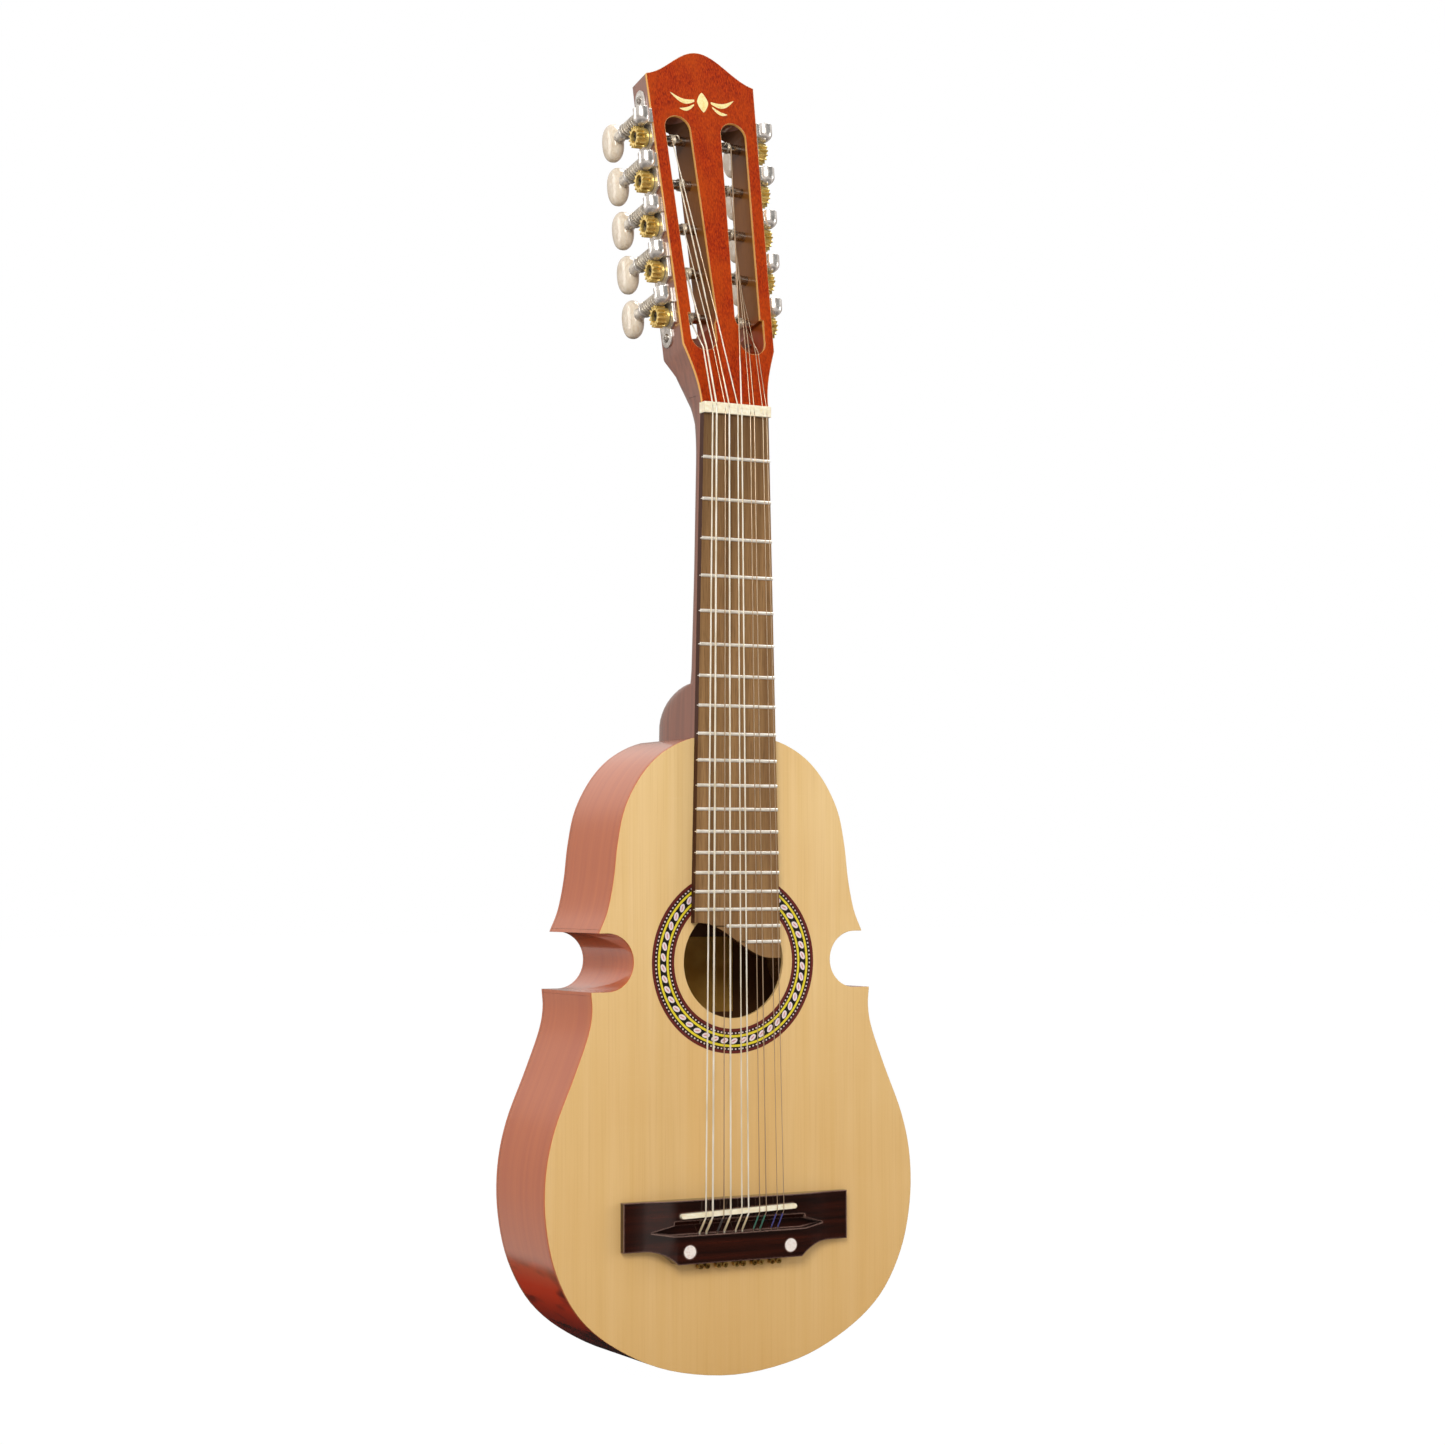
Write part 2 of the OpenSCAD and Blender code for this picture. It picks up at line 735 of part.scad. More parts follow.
module worm(side, k) {
    ferrule_z = ear_to + 0.1;
    flange = 1.3;
    neck_z = button_y - button_w / 2;
    color("silver")
    on_worm(side, k) {
        // the thread's centre meets the gear's side of the core at the posts' line
        rotate(90) thread();
        rotate_extrude() polygon([[0, cap_back - 3.5], [pivot_r, cap_back - 3.5],
            [pivot_r, worm_from], [worm_core, worm_from], [worm_core, worm_to],
            [journal_r, worm_to], [journal_r, ferrule_z], [4.3, ferrule_z],
            [4.3, ferrule_z + flange], [3.5, ferrule_z + 1.5 * flange], [3.5, neck_z - 1.5 * flange],
            [4.1, neck_z - flange], [4.1, neck_z], [journal_r, neck_z],
            [journal_r, button_y], [0, button_y]]);
    }
}

module button(side, k) {
    bulge_r = 32;
    steps = 40;
    color("antiquewhite")
    on_worm(side, k) translate([0, 0, button_y]) rotate([0, 90, 0])
    difference() {
        intersection() {
            translate([0, 0, -button_t]) linear_extrude(2 * button_t)
                polygon([for (i = [0:steps - 1]) [button_w / 2 * cos(360 * i / steps),
                    button_len / 2 * sin(360 * i / steps)]]);
            translate([0, 0, bulge_r - button_t / 2]) sphere(bulge_r);
            translate([0, 0, button_t / 2 - bulge_r]) sphere(bulge_r);
        }
        rotate([0, 90, 0]) translate([0, 0, -0.2]) cylinder(h = 20, r = journal_r);
    }
}

// outline of a side plate: x runs back across it and y up it; its front edge steps out at each post
module plate_outline() {
    front = -9.8;
    waist = -4;
    tab = 6.4;
    translate([waist, plate_low + 5]) square([plate_back - waist, plate_high - plate_low - 10]);
    for (k = [1:5])
        translate([0, post_t(k)])
            polygon([[waist - 0.1, -9.5], [front, -6.5], [front, 6.5], [waist - 0.1, 9.5],
                [0, 9.5], [0, -9.5]]);
    for (t = [plate_low, plate_high]) translate([tab_y, t]) {
        circle(tab);
        translate([-tab, t == plate_low ? 0 : -7]) square([2 * tab, 7]);
    }
}

module worm_bracket() {
    arm = worm_x - plate_gap;
    // front cap: a thumb-shaped cover over the worm's pivot
    difference() {
        union() {
            translate([0, 0, cap_y]) sphere(cap_r);
            translate([0, 0, cap_y]) rotate([90, 0, 0]) cylinder(h = cap_top, r = cap_r);
            translate([0, 0, cap_y]) cylinder(h = cap_back - cap_y, r = cap_r);
            translate([-arm, -cap_top, cap_y - 2.4]) cube([arm, cap_top + 4, cap_back - cap_y + 2.4]);
            translate([-arm, -cap_top, cap_y - 2.4]) cube([plate_t, cap_top + 4, 7]);
        }
        translate([plate_t - worm_x, -10, cap_back]) cube([20, 20, 20]);
        translate([0, 0, cap_back - 3.8]) cylinder(h = 10, r = pivot_r + running);
    }
    // rear ear: a ring on an arm from the plate
    difference() {
        union() {
            translate([0, 0, ear_from]) cylinder(h = ear_to - ear_from, r = ear_r);
            translate([-arm, -4.4, ear_from]) cube([arm, 8.8, ear_to - ear_from]);
            translate([-arm, -4.4, plate_back - 1]) cube([plate_t, 8.8, ear_to - plate_back + 1]);
        }
        translate([0, 0, ear_from - 1]) cylinder(h = 20, r = journal_r + running);
    }
}

// the +X side plate with its five worm brackets
module tuner_plate() {
    difference() {
        union() {
            beside(1, post_t(3)) rotate([0, 0, 90]) slab(-plate_t, -plate_gap)
                translate([0, -post_t(3)]) plate_outline();
            for (k = [1:5]) on_worm(1, k) worm_bracket();
        }
        for (k = [1:5])
            beside(1, post_t(k)) rotate([0, 90, 0]) translate([0, 0, -1])
                cylinder(h = 4, r = post_r + running);
        screw_places() translate([0, 0, -3]) cylinder(h = 8, r = 1.6);
    }
}

module screw_places() {
    for (t = [plate_low, plate_high])
        beside(1, t) translate([0, tab_y, 0]) rotate([0, 90, 0]) children();
}

module tuner_plates() {
    color("gainsboro") {
        tuner_plate();
        mirror([1, 0, 0]) tuner_plate();
    }
}

module tuner_screw() {
    difference() {
        translate([0, 0, plate_t]) intersection() {
            cylinder(h = 1.6, r = 2.9);
            translate([0, 0, -2.4]) sphere(4);
        }
        for (a = [0, 90]) rotate(a) translate([-2, -0.35, plate_t + 0.7]) cube([4, 0.7, 2]);
    }
    translate([0, 0, -9]) cylinder(h = 9 + plate_t + eps, r = 1.4);
}

module tuner_screws() {
    color("silver") {
        screw_places() tuner_screw();
        mirror([1, 0, 0]) screw_places() tuner_screw();
    }
}

// ---------------------------------------------------------------- strings

// a point given in the head's frame or the tuner line's frame, turned into the part's frame
function turned(y0, z0, tilt, p) = [p.x, y0 + p.y * cos(tilt) + p.z * sin(tilt),
    z0 - p.y * sin(tilt) + p.z * cos(tilt)];

module string(i) {
    r = string_r[i];
    side = i < 5 ? -1 : 1;
    k = i < 5 ? 5 - i : i - 4;
    tie = [saddle_x(i), tie_hole_y, bridge_low + 0.2];
    mouth = [saddle_x(i), tie_hole_y, trough_low + 1];
    // the string bends at the back edge of the saddle and lies flat along its crown
    crown_z = (saddle_x(i) - (saddle_left + saddle_right) / 2) * tan(saddle_lean) - saddle_t / 2 - 0.1;
    crown = [saddle_x(i), saddle_crown_y - r - 0.03, crown_z];
    nut_edge = [nut_x(i), nut_top_y + 0.15, scale_len];
    over_nut = [nut_x(i), nut_top_y + 0.9, scale_len + nut_len + 0.3];
    t = post_t(k);
    coil_x = side * (edge_x(t) - coil_in[k - 1]);
    at_post = turned(line_y, line_z, line_tilt, [coil_x, -post_r - r - 0.12, t]);
    leave = dip_s[k - 1];
    dip_x = nut_x(i) + (coil_x - nut_x(i)) * leave / t;
    dip = turned(head_y, head_z, head_tilt, [dip_x, -r - 0.15, leave]);
    path = [tie, mouth, crown, nut_edge, over_nut, dip, at_post];
    loft([for (p = path) [for (a = [0:36:324]) p + r * [cos(a), sin(a), 0]]]);
}

module strings() {
    color("lightgray") for (i = [0:9]) string(i);
}

module ball_ends() {
    color("goldenrod")
    for (i = [0:9])
        translate([saddle_x(i), tie_hole_y + 0.2, bridge_low - 2.2]) rotate([90, 0, 0])
        difference() {
            cylinder(h = 3.6, r = 1.9, center = true);
            cylinder(h = 5, r = 0.9, center = true);
        }
}

// ---------------------------------------------------------------- nodes

soundboard();
rosette();
back_plate();
side_ribs();
body_blocks();
linings();
braces();
neck();
head_veneer();
fretboard();
frets();
nut();
bridge();
saddle();
bridge_dots();
bridge_bolts();
tuner_plates();
tuner_screws();
strings();
ball_ends();
button(-1, 1);  // button_l1
button(-1, 2);  // button_l2
button(-1, 3);  // button_l3
button(-1, 4);  // button_l4
button(-1, 5);  // button_l5
button(1, 1);  // button_r1
button(1, 2);  // button_r2
button(1, 3);  // button_r3
button(1, 4);  // button_r4
button(1, 5);  // button_r5
worm(-1, 1);  // worm_l1
worm(-1, 2);  // worm_l2
worm(-1, 3);  // worm_l3
worm(-1, 4);  // worm_l4
worm(-1, 5);  // worm_l5
worm(1, 1);  // worm_r1
worm(1, 2);  // worm_r2
worm(1, 3);  // worm_r3
worm(1, 4);  // worm_r4
worm(1, 5);  // worm_r5
gear(-1, 1);  // gear_l1
gear(-1, 2);  // gear_l2
gear(-1, 3);  // gear_l3
gear(-1, 4);  // gear_l4
gear(-1, 5);  // gear_l5
gear(1, 1);  // gear_r1
gear(1, 2);  // gear_r2
gear(1, 3);  // gear_r3
gear(1, 4);  // gear_r4
gear(1, 5);  // gear_r5
post(-1, 1);  // post_l1
post(-1, 2);  // post_l2
post(-1, 3);  // post_l3
post(-1, 4);  // post_l4
post(-1, 5);  // post_l5
post(1, 1);  // post_r1
post(1, 2);  // post_r2
post(1, 3);  // post_r3
post(1, 4);  // post_r4
post(1, 5);  // post_r5
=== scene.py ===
import json
import math

import bpy
from mathutils import Matrix, Vector


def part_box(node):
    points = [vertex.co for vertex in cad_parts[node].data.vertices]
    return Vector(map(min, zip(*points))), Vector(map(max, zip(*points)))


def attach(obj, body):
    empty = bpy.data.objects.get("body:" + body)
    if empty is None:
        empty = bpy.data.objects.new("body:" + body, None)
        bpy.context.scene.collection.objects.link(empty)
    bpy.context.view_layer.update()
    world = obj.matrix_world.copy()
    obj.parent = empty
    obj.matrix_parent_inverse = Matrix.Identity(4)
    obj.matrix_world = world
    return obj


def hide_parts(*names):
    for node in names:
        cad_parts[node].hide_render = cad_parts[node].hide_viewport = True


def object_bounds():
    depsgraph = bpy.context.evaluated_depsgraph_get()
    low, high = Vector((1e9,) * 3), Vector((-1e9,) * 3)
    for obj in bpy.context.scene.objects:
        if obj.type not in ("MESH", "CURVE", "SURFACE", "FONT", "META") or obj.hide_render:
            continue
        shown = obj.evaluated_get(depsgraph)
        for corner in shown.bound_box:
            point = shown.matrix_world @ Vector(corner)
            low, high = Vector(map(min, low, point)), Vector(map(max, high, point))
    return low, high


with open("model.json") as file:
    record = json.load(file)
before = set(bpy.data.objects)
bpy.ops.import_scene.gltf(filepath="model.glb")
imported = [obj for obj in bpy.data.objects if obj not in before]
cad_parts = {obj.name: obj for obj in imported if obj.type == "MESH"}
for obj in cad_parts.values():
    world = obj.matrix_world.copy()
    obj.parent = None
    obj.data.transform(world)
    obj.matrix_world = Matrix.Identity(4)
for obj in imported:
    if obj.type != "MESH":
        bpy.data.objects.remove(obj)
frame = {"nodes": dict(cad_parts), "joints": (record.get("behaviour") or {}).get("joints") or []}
CAD_BOX = [list(corner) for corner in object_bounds()]

# Looks for a ten-string cuatro. In the part's frame +X is the treble side, the soundboard faces -Y
# and +Z points towards the head, with the saddle at Z = 0. Lengths below are in millimetres.
MM = 0.001
ROOT = "instrument"
JOINTS = {joint["name"]: joint for joint in frame["joints"]}

# body
SOUNDHOLE_Z = 157.4              # height of the soundhole's centre
ROSETTE_CLEAR_R = 62             # a radius outside the rosette
BACK_INNER_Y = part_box("back_plate")[0].y / MM
STAIN_EDGE_Y = (-75.7, -75.3)    # where the stain on the soundboard's edge stops
TOP_TONE_Z = (260, -100)         # the soundboard's tone deepens between these heights
RIB_SHADE_START_Z = (-24, -46)           # the ribs' lower end turns red with painted shade between these heights
RIB_SHADE_DARK_Z = (-50, -92)          # and then darker

# neck and head
BOARD_DARK_Z = (400, 506)        # and the painted shade darkens between these
SLOTS_Z = (551, 712)             # the slots' lower and upper ends
SLOTS_OUTER_X = 31.5             # a little outside the slots
SLOT_RAMP_Z = (566, 582)         # from the slots' red ramps to their golden walls
SLOT_SHADE_Z = (668, 698)        # from the golden walls to the painted shade at the upper ends

# tuners: their sides, and their ranks from the head's top down
SIDES = {"l": -1, "r": 1}
RANKS = (1, 2, 3, 4, 5)

# strings: the spacing of the pairs and the middle pair's X, at the nut and at the saddle
SCALE_LEN = 510
PAIR_STEP = (9.2, 12.9)
PAIR_SHIFT = (1.3, 1.5)
WINDING_PITCH = 0.35             # from one rib of a wound string to the next
THREAD_TURN = 9.0                # radians that silk thread turns in a millimetre


# ---------------------------------------------------------------- colour and node helpers

def srgb(r, g, b):
    """A colour given in 8-bit sRGB, as the linear tuple that nodes take."""
    def linear(v):
        v /= 255
        return v / 12.92 if v <= 0.04045 else ((v + 0.055) / 1.055) ** 2.4
    return (linear(r), linear(g), linear(b), 1.0)


class Nodes:
    """Short calls that build one node tree. A value is a number, a colour or another node's socket."""

    def __init__(self, owner):
        owner.use_nodes = True
        self.tree = owner.node_tree
        self.tree.nodes.clear()

    def add(self, kind, **settings):
        node = self.tree.nodes.new(kind)
        for key, value in settings.items():
            setattr(node, key, value)
        return node

    def feed(self, socket, value):
        if isinstance(value, bpy.types.NodeSocket):
            self.tree.links.new(value, socket)
        elif value is not None:
            socket.default_value = value

    def result(self, node, *values):
        """A node's first output, with its inputs fed in order."""
        for socket, value in zip(node.inputs, values):
            self.feed(socket, value)
        return node.outputs[0]

    def math(self, operation, a, b=None, clamp=False):
        return self.result(self.add("ShaderNodeMath", operation=operation, use_clamp=clamp), a, b)

    def times(self, a, b):
        return self.math("MULTIPLY", a, b)

    def split(self, vector):
        """The x, y and z sockets of a vector."""
        node = self.add("ShaderNodeSeparateXYZ")
        self.feed(node.inputs[0], vector)
        return node.outputs

    def dot(self, a, b):
        node = self.add("ShaderNodeVectorMath", operation="DOT_PRODUCT")
        self.feed(node.inputs[0], a)
        self.feed(node.inputs[1], b)
        return node.outputs["Value"]

    def ramp(self, fac, *stops):
        """Colours from (place, colour) stops."""
        node = self.add("ShaderNodeValToRGB")
        self.feed(node.inputs[0], fac)
        elements = node.color_ramp.elements
        while len(elements) < len(stops):
            elements.new(0.5)
        for element, (place, colour) in zip(elements, stops):
            element.position = place
            element.color = colour
        return node.outputs[0]

    def span(self, value, low, high, to_low=0.0, to_high=1.0, kind="LINEAR"):
        """Value mapped from low..high to to_low..to_high, held at the ends."""
        node = self.add("ShaderNodeMapRange", clamp=True, interpolation_type=kind)
        return self.result(node, value, low, high, to_low, to_high)

    def mix(self, fac, a, b, blend="MIX"):
        """Colour a, with colour b mixed in by fac. The node has its colours at inputs 6 and 7."""
        node = self.add("ShaderNodeMix", data_type="RGBA", blend_type=blend)
        self.feed(node.inputs[0], fac)
        self.feed(node.inputs[6], a)
        self.feed(node.inputs[7], b)
        return node.outputs[2]

    def between(self, value, low, high):
        """1 where low < value < high, else 0."""
        return self.times(self.math("GREATER_THAN", value, low), self.math("LESS_THAN", value, high))

    def blend(self, fac, a, b):
        """Shader a, with shader b mixed in by fac."""
        return self.result(self.add("ShaderNodeMixShader"), fac, a, b)

    def ray(self, kind):
        return self.add("ShaderNodeLightPath").outputs[kind]


class Paint(Nodes):
    """One material. Its x, y and z are millimetres in the part's frame at rest."""

    def __init__(self, name):
        self.material = bpy.data.materials.new(name)
        super().__init__(self.material)
        place = self.split(self.add("ShaderNodeTexCoord").outputs["Object"])
        self.x, self.y, self.z = (self.times(place[i], 1 / MM) for i in range(3))

    def vec(self, x, y, z):
        return self.result(self.add("ShaderNodeCombineXYZ"), x, y, z)

    def point(self, sx, sy, sz, mirror=False):
        """The place, stretched by a factor along each axis; mirror folds X at the centre line."""
        x = self.math("ABSOLUTE", self.x) if mirror else self.x
        return self.vec(self.times(x, sx), self.times(self.y, sy), self.times(self.z, sz))

    def noise(self, vector, detail=2.0, rough=0.5, distort=0.0):
        node = self.add("ShaderNodeTexNoise")
        self.feed(node.inputs["Vector"], vector)
        for name, value in (("Scale", 1.0), ("Detail", detail), ("Roughness", rough),
                            ("Distortion", distort)):
            self.feed(node.inputs[name], value)
        return node.outputs["Fac"]

    def from_soundhole(self):
        """Height above the soundhole's centre, and distance from it."""
        up = self.math("SUBTRACT", self.z, SOUNDHOLE_Z)
        squares = self.math("ADD", self.times(self.x, self.x), self.times(up, up))
        return up, self.math("SQRT", squares)

    def geometry(self, name):
        return self.add("ShaderNodeNewGeometry").outputs[name]

    def rounded(self, radius):
        """A normal that rounds every edge over the given radius in millimetres."""
        node = self.add("ShaderNodeBevel", samples=4)
        self.feed(node.inputs["Radius"], radius * MM)
        return node.outputs[0]

    def rim(self, radius, most):
        """A mask for painted edge highlights: 0 on flat parts, rising to most on edges within the radius
        in millimetres.
        """
        return self.span(self.dot(self.rounded(radius), self.geometry("Normal")), 0.99, 0.86, 0, most)

    def bump(self, height, distance, normal, strength):
        """A normal raised by up to distance millimetres. normal is the one it starts from, or None."""
        node = self.add("ShaderNodeBump")
        self.feed(node.inputs["Strength"], strength)
        self.feed(node.inputs["Distance"], distance * MM)
        self.feed(node.inputs["Height"], height)
        self.feed(node.inputs["Normal"], normal)
        return node.outputs[0]

    def facing(self):
        """How squarely the surface faces along Y, from 0 on a side to 1 on a front or back."""
        return self.math("ABSOLUTE", self.split(self.geometry("True Normal"))[1])

    def is_side(self, limit=0.5):
        """1 on sides, where the surface faces along Y less squarely than the limit, else 0."""
        return self.math("LESS_THAN", self.facing(), limit)

    def output(self, shader):
        self.feed(self.add("ShaderNodeOutputMaterial").inputs[0], shader)
        return self.material

    def done(self, **inputs):
        """Finishes with a Principled surface. Underscores stand for spaces in the socket names."""
        shader = self.add("ShaderNodeBsdfPrincipled")
        for key, value in inputs.items():
            self.feed(shader.inputs[key.replace("_", " ")], value)
        return self.output(shader.outputs[0])


# ---------------------------------------------------------------- woods

RIB_DEEP = srgb(184, 86, 34)
RIB_WARM = srgb(196, 98, 40)


def stain(p, across, colours=(RIB_DEEP, RIB_WARM)):
    """Red-brown stained mahogany. across is the stretch of each axis across the grain."""
    bands = p.noise(p.point(*(a * 0.12 for a in across)), detail=3, rough=0.55)
    pores = p.noise(p.point(*across), detail=2, rough=0.7)
    colour = p.ramp(bands, (0.3, colours[0]), (0.7, colours[1]))
    return p.mix(p.span(pores, 0.56, 0.72, 0, 0.05), colour, srgb(120, 40, 14)), pores


def spruce():
    p = Paint("spruce_top")
    fine = p.noise(p.point(1.1, 0.2, 0.012, mirror=True), detail=2, rough=0.6)
    band = p.noise(p.point(0.13, 0.1, 0.004, mirror=True), detail=3, rough=0.5)
    cloud = p.noise(p.point(0.018, 0.018, 0.011), detail=2)
    silk = p.noise(p.point(0.09, 0.1, 0.9), detail=2, rough=0.5)
    face = p.ramp(band, (0.28, srgb(235, 198, 133)), (0.72, srgb(243, 210, 151)))
    face = p.mix(p.span(fine, 0.5, 0.74, 0, 0.2), face, srgb(202, 154, 88))
    face = p.mix(p.span(cloud, 0.35, 0.7, 0, 0.2), face, srgb(216, 166, 94))
    face = p.mix(p.span(silk, 0.6, 0.8, 0, 0.08), face, srgb(246, 220, 168))
    # the tone deepens towards the tail
    face = p.mix(p.span(p.z, *TOP_TONE_Z, 0, 0.5), face, srgb(206, 152, 66))
    # the edge is stained like the ribs, with a bright line where the stain stops
    edge, _ = stain(p, (0.1, 5.0, 0.1))
    edge = p.mix(p.span(p.y, *STAIN_EDGE_Y, 1, 0), edge, srgb(236, 138, 44))
    _, reach = p.from_soundhole()
    outside = p.math("GREATER_THAN", reach, ROSETTE_CLEAR_R)
    colour = p.mix(p.times(p.is_side(), outside), face, edge)
    normal = p.bump(fine, 0.05, p.rounded(0.5), 0.25)
    return p.done(Base_Color=colour, Roughness=p.span(band, 0.3, 0.7, 0.42, 0.5), Normal=normal,
                  Coat_Weight=0.35, Coat_Roughness=0.22)


def rib_wood():
    p = Paint("rib_mahogany")
    colour, pores = stain(p, (0.05, 1.6, 0.05))
    # painted shade: the ribs' lower end runs into dark red with darker streaks, and shines less
    painted_shade = p.mix(p.span(p.z, *RIB_SHADE_DARK_Z), srgb(222, 58, 6), srgb(150, 18, 4))
    shade_streak = p.noise(p.point(0.014, 0.02, 0.08), detail=2, rough=0.5)
    painted_shade = p.mix(p.span(shade_streak, 0.40, 0.54, 0.85, 0), painted_shade, srgb(60, 8, 3))
    shade_mask = p.span(p.z, *RIB_SHADE_START_Z, 0, 0.95)
    colour = p.mix(shade_mask, colour, painted_shade)
    normal = p.bump(pores, 0.02, p.rounded(0.4), 0.1)
    return p.done(Base_Color=colour, Roughness=0.38, Normal=normal, Coat_Weight=1.0, Coat_IOR=1.55,
                  Coat_Roughness=0.07, Specular_IOR_Level=p.span(shade_mask, 0, 1, 0.5, 0.1))


def back_wood():
    p = Paint("back_mahogany")
    colour, pores = stain(p, (2.4, 0.3, 0.03))
    # the face inside the body is bare wood
    inside = p.span(p.y, BACK_INNER_Y + 0.5, BACK_INNER_Y + 0.3)
    colour = p.mix(inside, colour, srgb(104, 66, 36))
    normal = p.bump(pores, 0.03, p.rounded(0.5), 0.2)
    return p.done(Base_Color=colour, Roughness=0.42, Normal=normal, Coat_Roughness=0.06,
                  Coat_Weight=p.span(inside, 0, 1, 1.0, 0.0))


def neck_wood():
    p = Paint("neck_mahogany")
    colour, pores = stain(p, (2.2, 2.2, 0.03), (srgb(112, 58, 36), srgb(142, 80, 52)))
    # the walls of the head's slots are golden and their ramps red; their upper ends are darkened with
    # painted shade
    in_head = p.times(p.between(p.z, *SLOTS_Z), p.is_side(0.96))
    in_slot = p.times(in_head, p.math("LESS_THAN", p.math("ABSOLUTE", p.x), SLOTS_OUTER_X))
    slot_colour = p.mix(p.span(p.z, *SLOT_RAMP_Z), srgb(160, 60, 10), srgb(132, 82, 30))
    slot_colour = p.mix(p.span(p.z, *SLOT_SHADE_Z, 0, 0.8), slot_colour, srgb(62, 34, 16))
    slot_colour = p.mix(p.span(pores, 0.45, 0.7, 0, 0.5), slot_colour, srgb(104, 58, 22))
    colour = p.mix(in_slot, colour, slot_colour)
    normal = p.bump(pores, 0.03, p.rounded(0.6), 0.2)
    return p.done(Base_Color=colour, Roughness=0.4, Normal=normal, Coat_Roughness=0.08,
                  Coat_IOR=1.75, Coat_Weight=p.span(in_slot, 0, 1, 1.0, 0.1),
                  Specular_IOR_Level=p.span(in_slot, 0, 1, 0.5, 0.1))


def veneer_wood():
    p = Paint("head_veneer_wood")
    fibre = p.noise(p.point(1.9, 1.9, 0.16), detail=3, rough=0.65)
    fleck = p.noise(p.point(0.9, 0.9, 0.3), detail=3, rough=0.6)
    patch = p.noise(p.point(0.06, 0.06, 0.03), detail=2)
    face = p.ramp(fibre, (0.36, srgb(134, 30, 1)), (0.64, srgb(184, 60, 2)))
    face = p.mix(p.span(fleck, 0.5, 0.64, 0, 0.65), face, srgb(102, 18, 1))
    face = p.mix(p.span(patch, 0.4, 0.7, 0, 0.45), face, srgb(190, 76, 5))
    # the sides are pale wood, made paler still with a painted highlight
    side = p.mix(p.span(fibre, 0.4, 0.7, 0, 0.4), srgb(244, 184, 96), srgb(206, 128, 46))
    colour = p.mix(p.is_side(), face, side)
    # a painted highlight along the face's edges and the slots' edges
    colour = p.mix(p.rim(0.7, 0.75), colour, srgb(250, 206, 140))
    normal = p.bump(fibre, 0.03, p.rounded(0.35), 0.2)
    return p.done(Base_Color=colour, Roughness=0.5, Normal=normal, Specular_IOR_Level=0.08,
                  Coat_Weight=0.25, Coat_Roughness=0.04)


def fretboard_wood():
    p = Paint("fretboard_rosewood")
    fine = p.noise(p.point(1.6, 0.8, 0.05), detail=3, rough=0.65)
    band = p.noise(p.point(0.22, 0.2, 0.006), detail=3)
    colour = p.ramp(band, (0.3, srgb(126, 93, 58)), (0.7, srgb(164, 127, 84)))
    colour = p.mix(p.span(fine, 0.48, 0.7, 0, 0.62), colour, srgb(78, 50, 29))
    # the board darkens towards the nut, and its sides are dark
    colour = p.mix(p.span(p.z, *BOARD_DARK_Z, 0, 0.45), colour, srgb(66, 44, 28))
    colour = p.mix(p.is_side(), colour, srgb(66, 34, 18))
    normal = p.bump(fine, 0.06, p.rounded(0.4), 0.4)
    return p.done(Base_Color=colour, Roughness=p.span(fine, 0.3, 0.7, 0.4, 0.54), Normal=normal,
                  Specular_IOR_Level=0.15)


def bridge_wood():
    p = Paint("bridge_rosewood")
    fine = p.noise(p.point(0.05, 0.8, 1.6), detail=3, rough=0.6)
    band = p.noise(p.point(0.01, 0.1, 0.3), detail=3)
    colour = p.ramp(band, (0.35, srgb(24, 6, 2)), (0.7, srgb(56, 18, 6)))
    colour = p.mix(p.span(fine, 0.5, 0.7, 0, 0.5), colour, srgb(18, 6, 3))
    # a painted highlight along the edges
    colour = p.mix(p.rim(1.5, 0.75), colour, srgb(186, 150, 136))
    wave = p.noise(p.point(0.12, 0.25, 0.25), detail=2)
    normal = p.bump(wave, 0.5, p.rounded(1.8), 0.35)
    return p.done(Base_Color=colour, Roughness=0.5, Normal=normal, Specular_IOR_Level=0.05,
                  Coat_Weight=1.0, Coat_Roughness=0.04, Coat_IOR=1.6)


def inner_wood():
    p = Paint("inner_wood")
    fine = p.noise(p.point(0.6, 0.9, 0.4), detail=3, rough=0.6)
    colour = p.ramp(fine, (0.3, srgb(150, 104, 62)), (0.7, srgb(192, 146, 96)))
    return p.done(Base_Color=colour, Roughness=0.75, Specular_IOR_Level=0.2,
                  Normal=p.bump(fine, 0.08, None, 0.4))


# the rosette's rings by radius, from and to
DARK_BANDS = ((44.6, 46.7), (54.5, 56.8))
SQUARE_ROWS = ((45.2, 46.1, 112), (55.3, 56.2, 136))     # with the number of squares in each
BLACK_BAND = (46.6, 54.8)
YELLOW_RINGS = ((46.8, 48.3), (52.9, 54.4))
OVALS = 46
OVALS_R = 50.6
OVALS_SLANT = math.radians(24)


